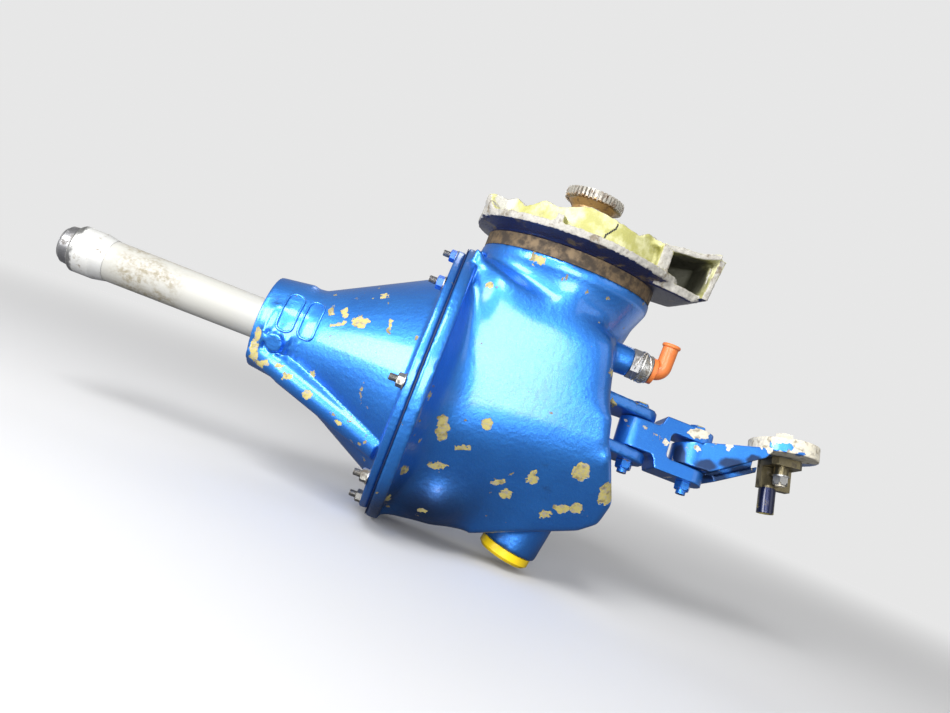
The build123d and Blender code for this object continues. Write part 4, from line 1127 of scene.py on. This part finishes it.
@dataclass
class SafetyWire:
    """The wire that holds the chip detector's ring."""

    palette: Palette
    wire_r: float = 0.0007
    ring_r: float = 0.0139
    # X and slant in degrees of each turn
    wire_places: tuple[tuple[float, float], ...] = ((0.0900, 24.0), (0.0925, -20.0), (0.0915, 7.0))

    def build(self) -> None:
        """Lay three turns at a slant over the knurled ring and the adapter's corner."""
        turns = []
        for place_x, slant in self.wire_places:
            bpy.ops.object.select_all(action="DESELECT")
            bpy.ops.mesh.primitive_torus_add(
                major_radius=self.ring_r + self.wire_r, minor_radius=self.wire_r,
                major_segments=72, minor_segments=8, location=(place_x, DETECTOR_Y, DETECTOR_Z),
                rotation=(math.radians(slant), math.radians(90 + slant / 2), 0))
            turns.append(settle(bpy.context.object, "safety_wire"))
        wire = settle(join_into(turns[0], turns[1:]), "safety_wire")
        smooth_by_angle(wire, 60)
        dress_piece(wire, self.palette.materials[Finish.WIRE], "gearbox")


# Stage


@dataclass(frozen=True)
class Lamp:
    """A square soft light that points at the gear case."""

    name: str
    place: Point
    size: float
    watts: float


LAMPS = (
    Lamp("key light", (-0.70, -1.25, 1.20), 0.8, 30.0),
    Lamp("left light", (-1.50, -1.05, 0.25), 0.8, 30.0),
    Lamp("front light", (-0.15, -1.75, 0.0), 0.9, 32.0),
    Lamp("fill light", (1.4, -1.1, 0.8), 1.0, 4.0),
    Lamp("back light", (0.2, 1.4, 1.3), 1.2, 10.0),
)


@dataclass
class Studio:
    """Floor, lights and the camera at the photograph's viewing angle."""

    floor_z: float = -0.2925
    floor_size: float = 24.0
    backdrop: float = 0.80  # brightness of the background to the camera
    ambient: float = 0.26  # and as a light
    floor_pale: Colour = (0.60, 0.60, 0.605)
    floor_bounce: Colour = (0.10, 0.10, 0.11)  # what the paint mirrors, as the dark carpet
    fade: tuple[float, float] = (0.55, 1.7)  # where the floor fades into the background
    aim_at: Point = (-0.05, 0, -0.12)
    far: float = 50.0

    def camera(self) -> None:
        """Place the camera: no shift, turned so the square-on pixel looks along +Y."""
        data = bpy.data.cameras.new("camera")
        data.lens = VIEW.focal_px * data.sensor_width / VIEW.image[0]
        data.clip_end = self.far
        camera = add_object("camera", data)
        right, up, forward = VIEW.axes()
        turn = Matrix((right, up, -forward)).transposed().to_4x4()
        camera.matrix_world = Matrix.Translation(VIEW.camera_at) @ turn
        bpy.context.scene.camera = camera

    def floor(self) -> None:
        """A wide pale floor that fades into the background far from the part."""
        bpy.ops.object.select_all(action="DESELECT")
        bpy.ops.mesh.primitive_plane_add(size=self.floor_size, location=(0, 0, self.floor_z))
        floor = bpy.context.object
        floor.name = "floor"
        shader = Shader("pale floor")
        seen = shader.node("LightPath", {}).outputs["Is Camera Ray"]
        shader.set(Base_Color=shader.mix(seen, self.floor_bounce, self.floor_pale), Roughness=0.9)
        glow = shader.node("Emission", {"Color": (self.backdrop,) * 3})
        away = shader.step(shader.vector_math("LENGTH", shader.coords), *self.fade)
        blend = shader.node("MixShader",
                            {0: away, 1: shader.surface.outputs[0], 2: glow.outputs[0]})
        shader.plug(shader.output.inputs[0], blend.outputs[0])
        floor.data.materials.append(shader.material)

    def light(self, lamp: Lamp) -> None:
        """Put up one light."""
        data = bpy.data.lights.new(lamp.name, "AREA")
        data.size = lamp.size
        data.energy = lamp.watts
        piece = add_object(lamp.name, data)
        aim = (Vector(self.aim_at) - Vector(lamp.place)).normalized()
        turn = aim.to_track_quat("-Z", "Y").to_matrix().to_4x4()
        piece.matrix_world = Matrix.Translation(lamp.place) @ turn

    def world(self) -> None:
        """An even pale world: the backdrop's brightness to the camera, dimmer as a light."""
        world = bpy.data.worlds.new("world")
        bpy.context.scene.world = world
        world.use_nodes = True
        tree = Tree(world.node_tree)
        seen = tree.node("LightPath", {}).outputs["Is Camera Ray"]
        strength = tree.node("Math", {0: seen, 1: self.backdrop - self.ambient, 2: self.ambient},
                             operation="MULTIPLY_ADD").outputs[0]
        glow = tree.node("Background", {"Color": (1.0, 1.0, 1.0), "Strength": strength})
        tree.node("OutputWorld", {0: glow.outputs[0]})

    def build(self) -> None:
        """Make the whole stage."""
        self.camera()
        self.floor()
        self.world()
        for lamp in LAMPS:
            self.light(lamp)
        bpy.context.scene.view_settings.view_transform = "Standard"


def main() -> None:
    """Build every sub-assembly in order."""
    logging.basicConfig(level=logging.INFO)
    palette = Palette()
    Castings().build()
    Linkage().build()
    SafetyWire(palette).build()
    for hardware in (RINGS, MAST, INPUT_LINE, FASTENERS, LINKAGE, FITTINGS):
        hardware.build(palette)
    Studio().build()


if __name__ == "__main__":
    main()
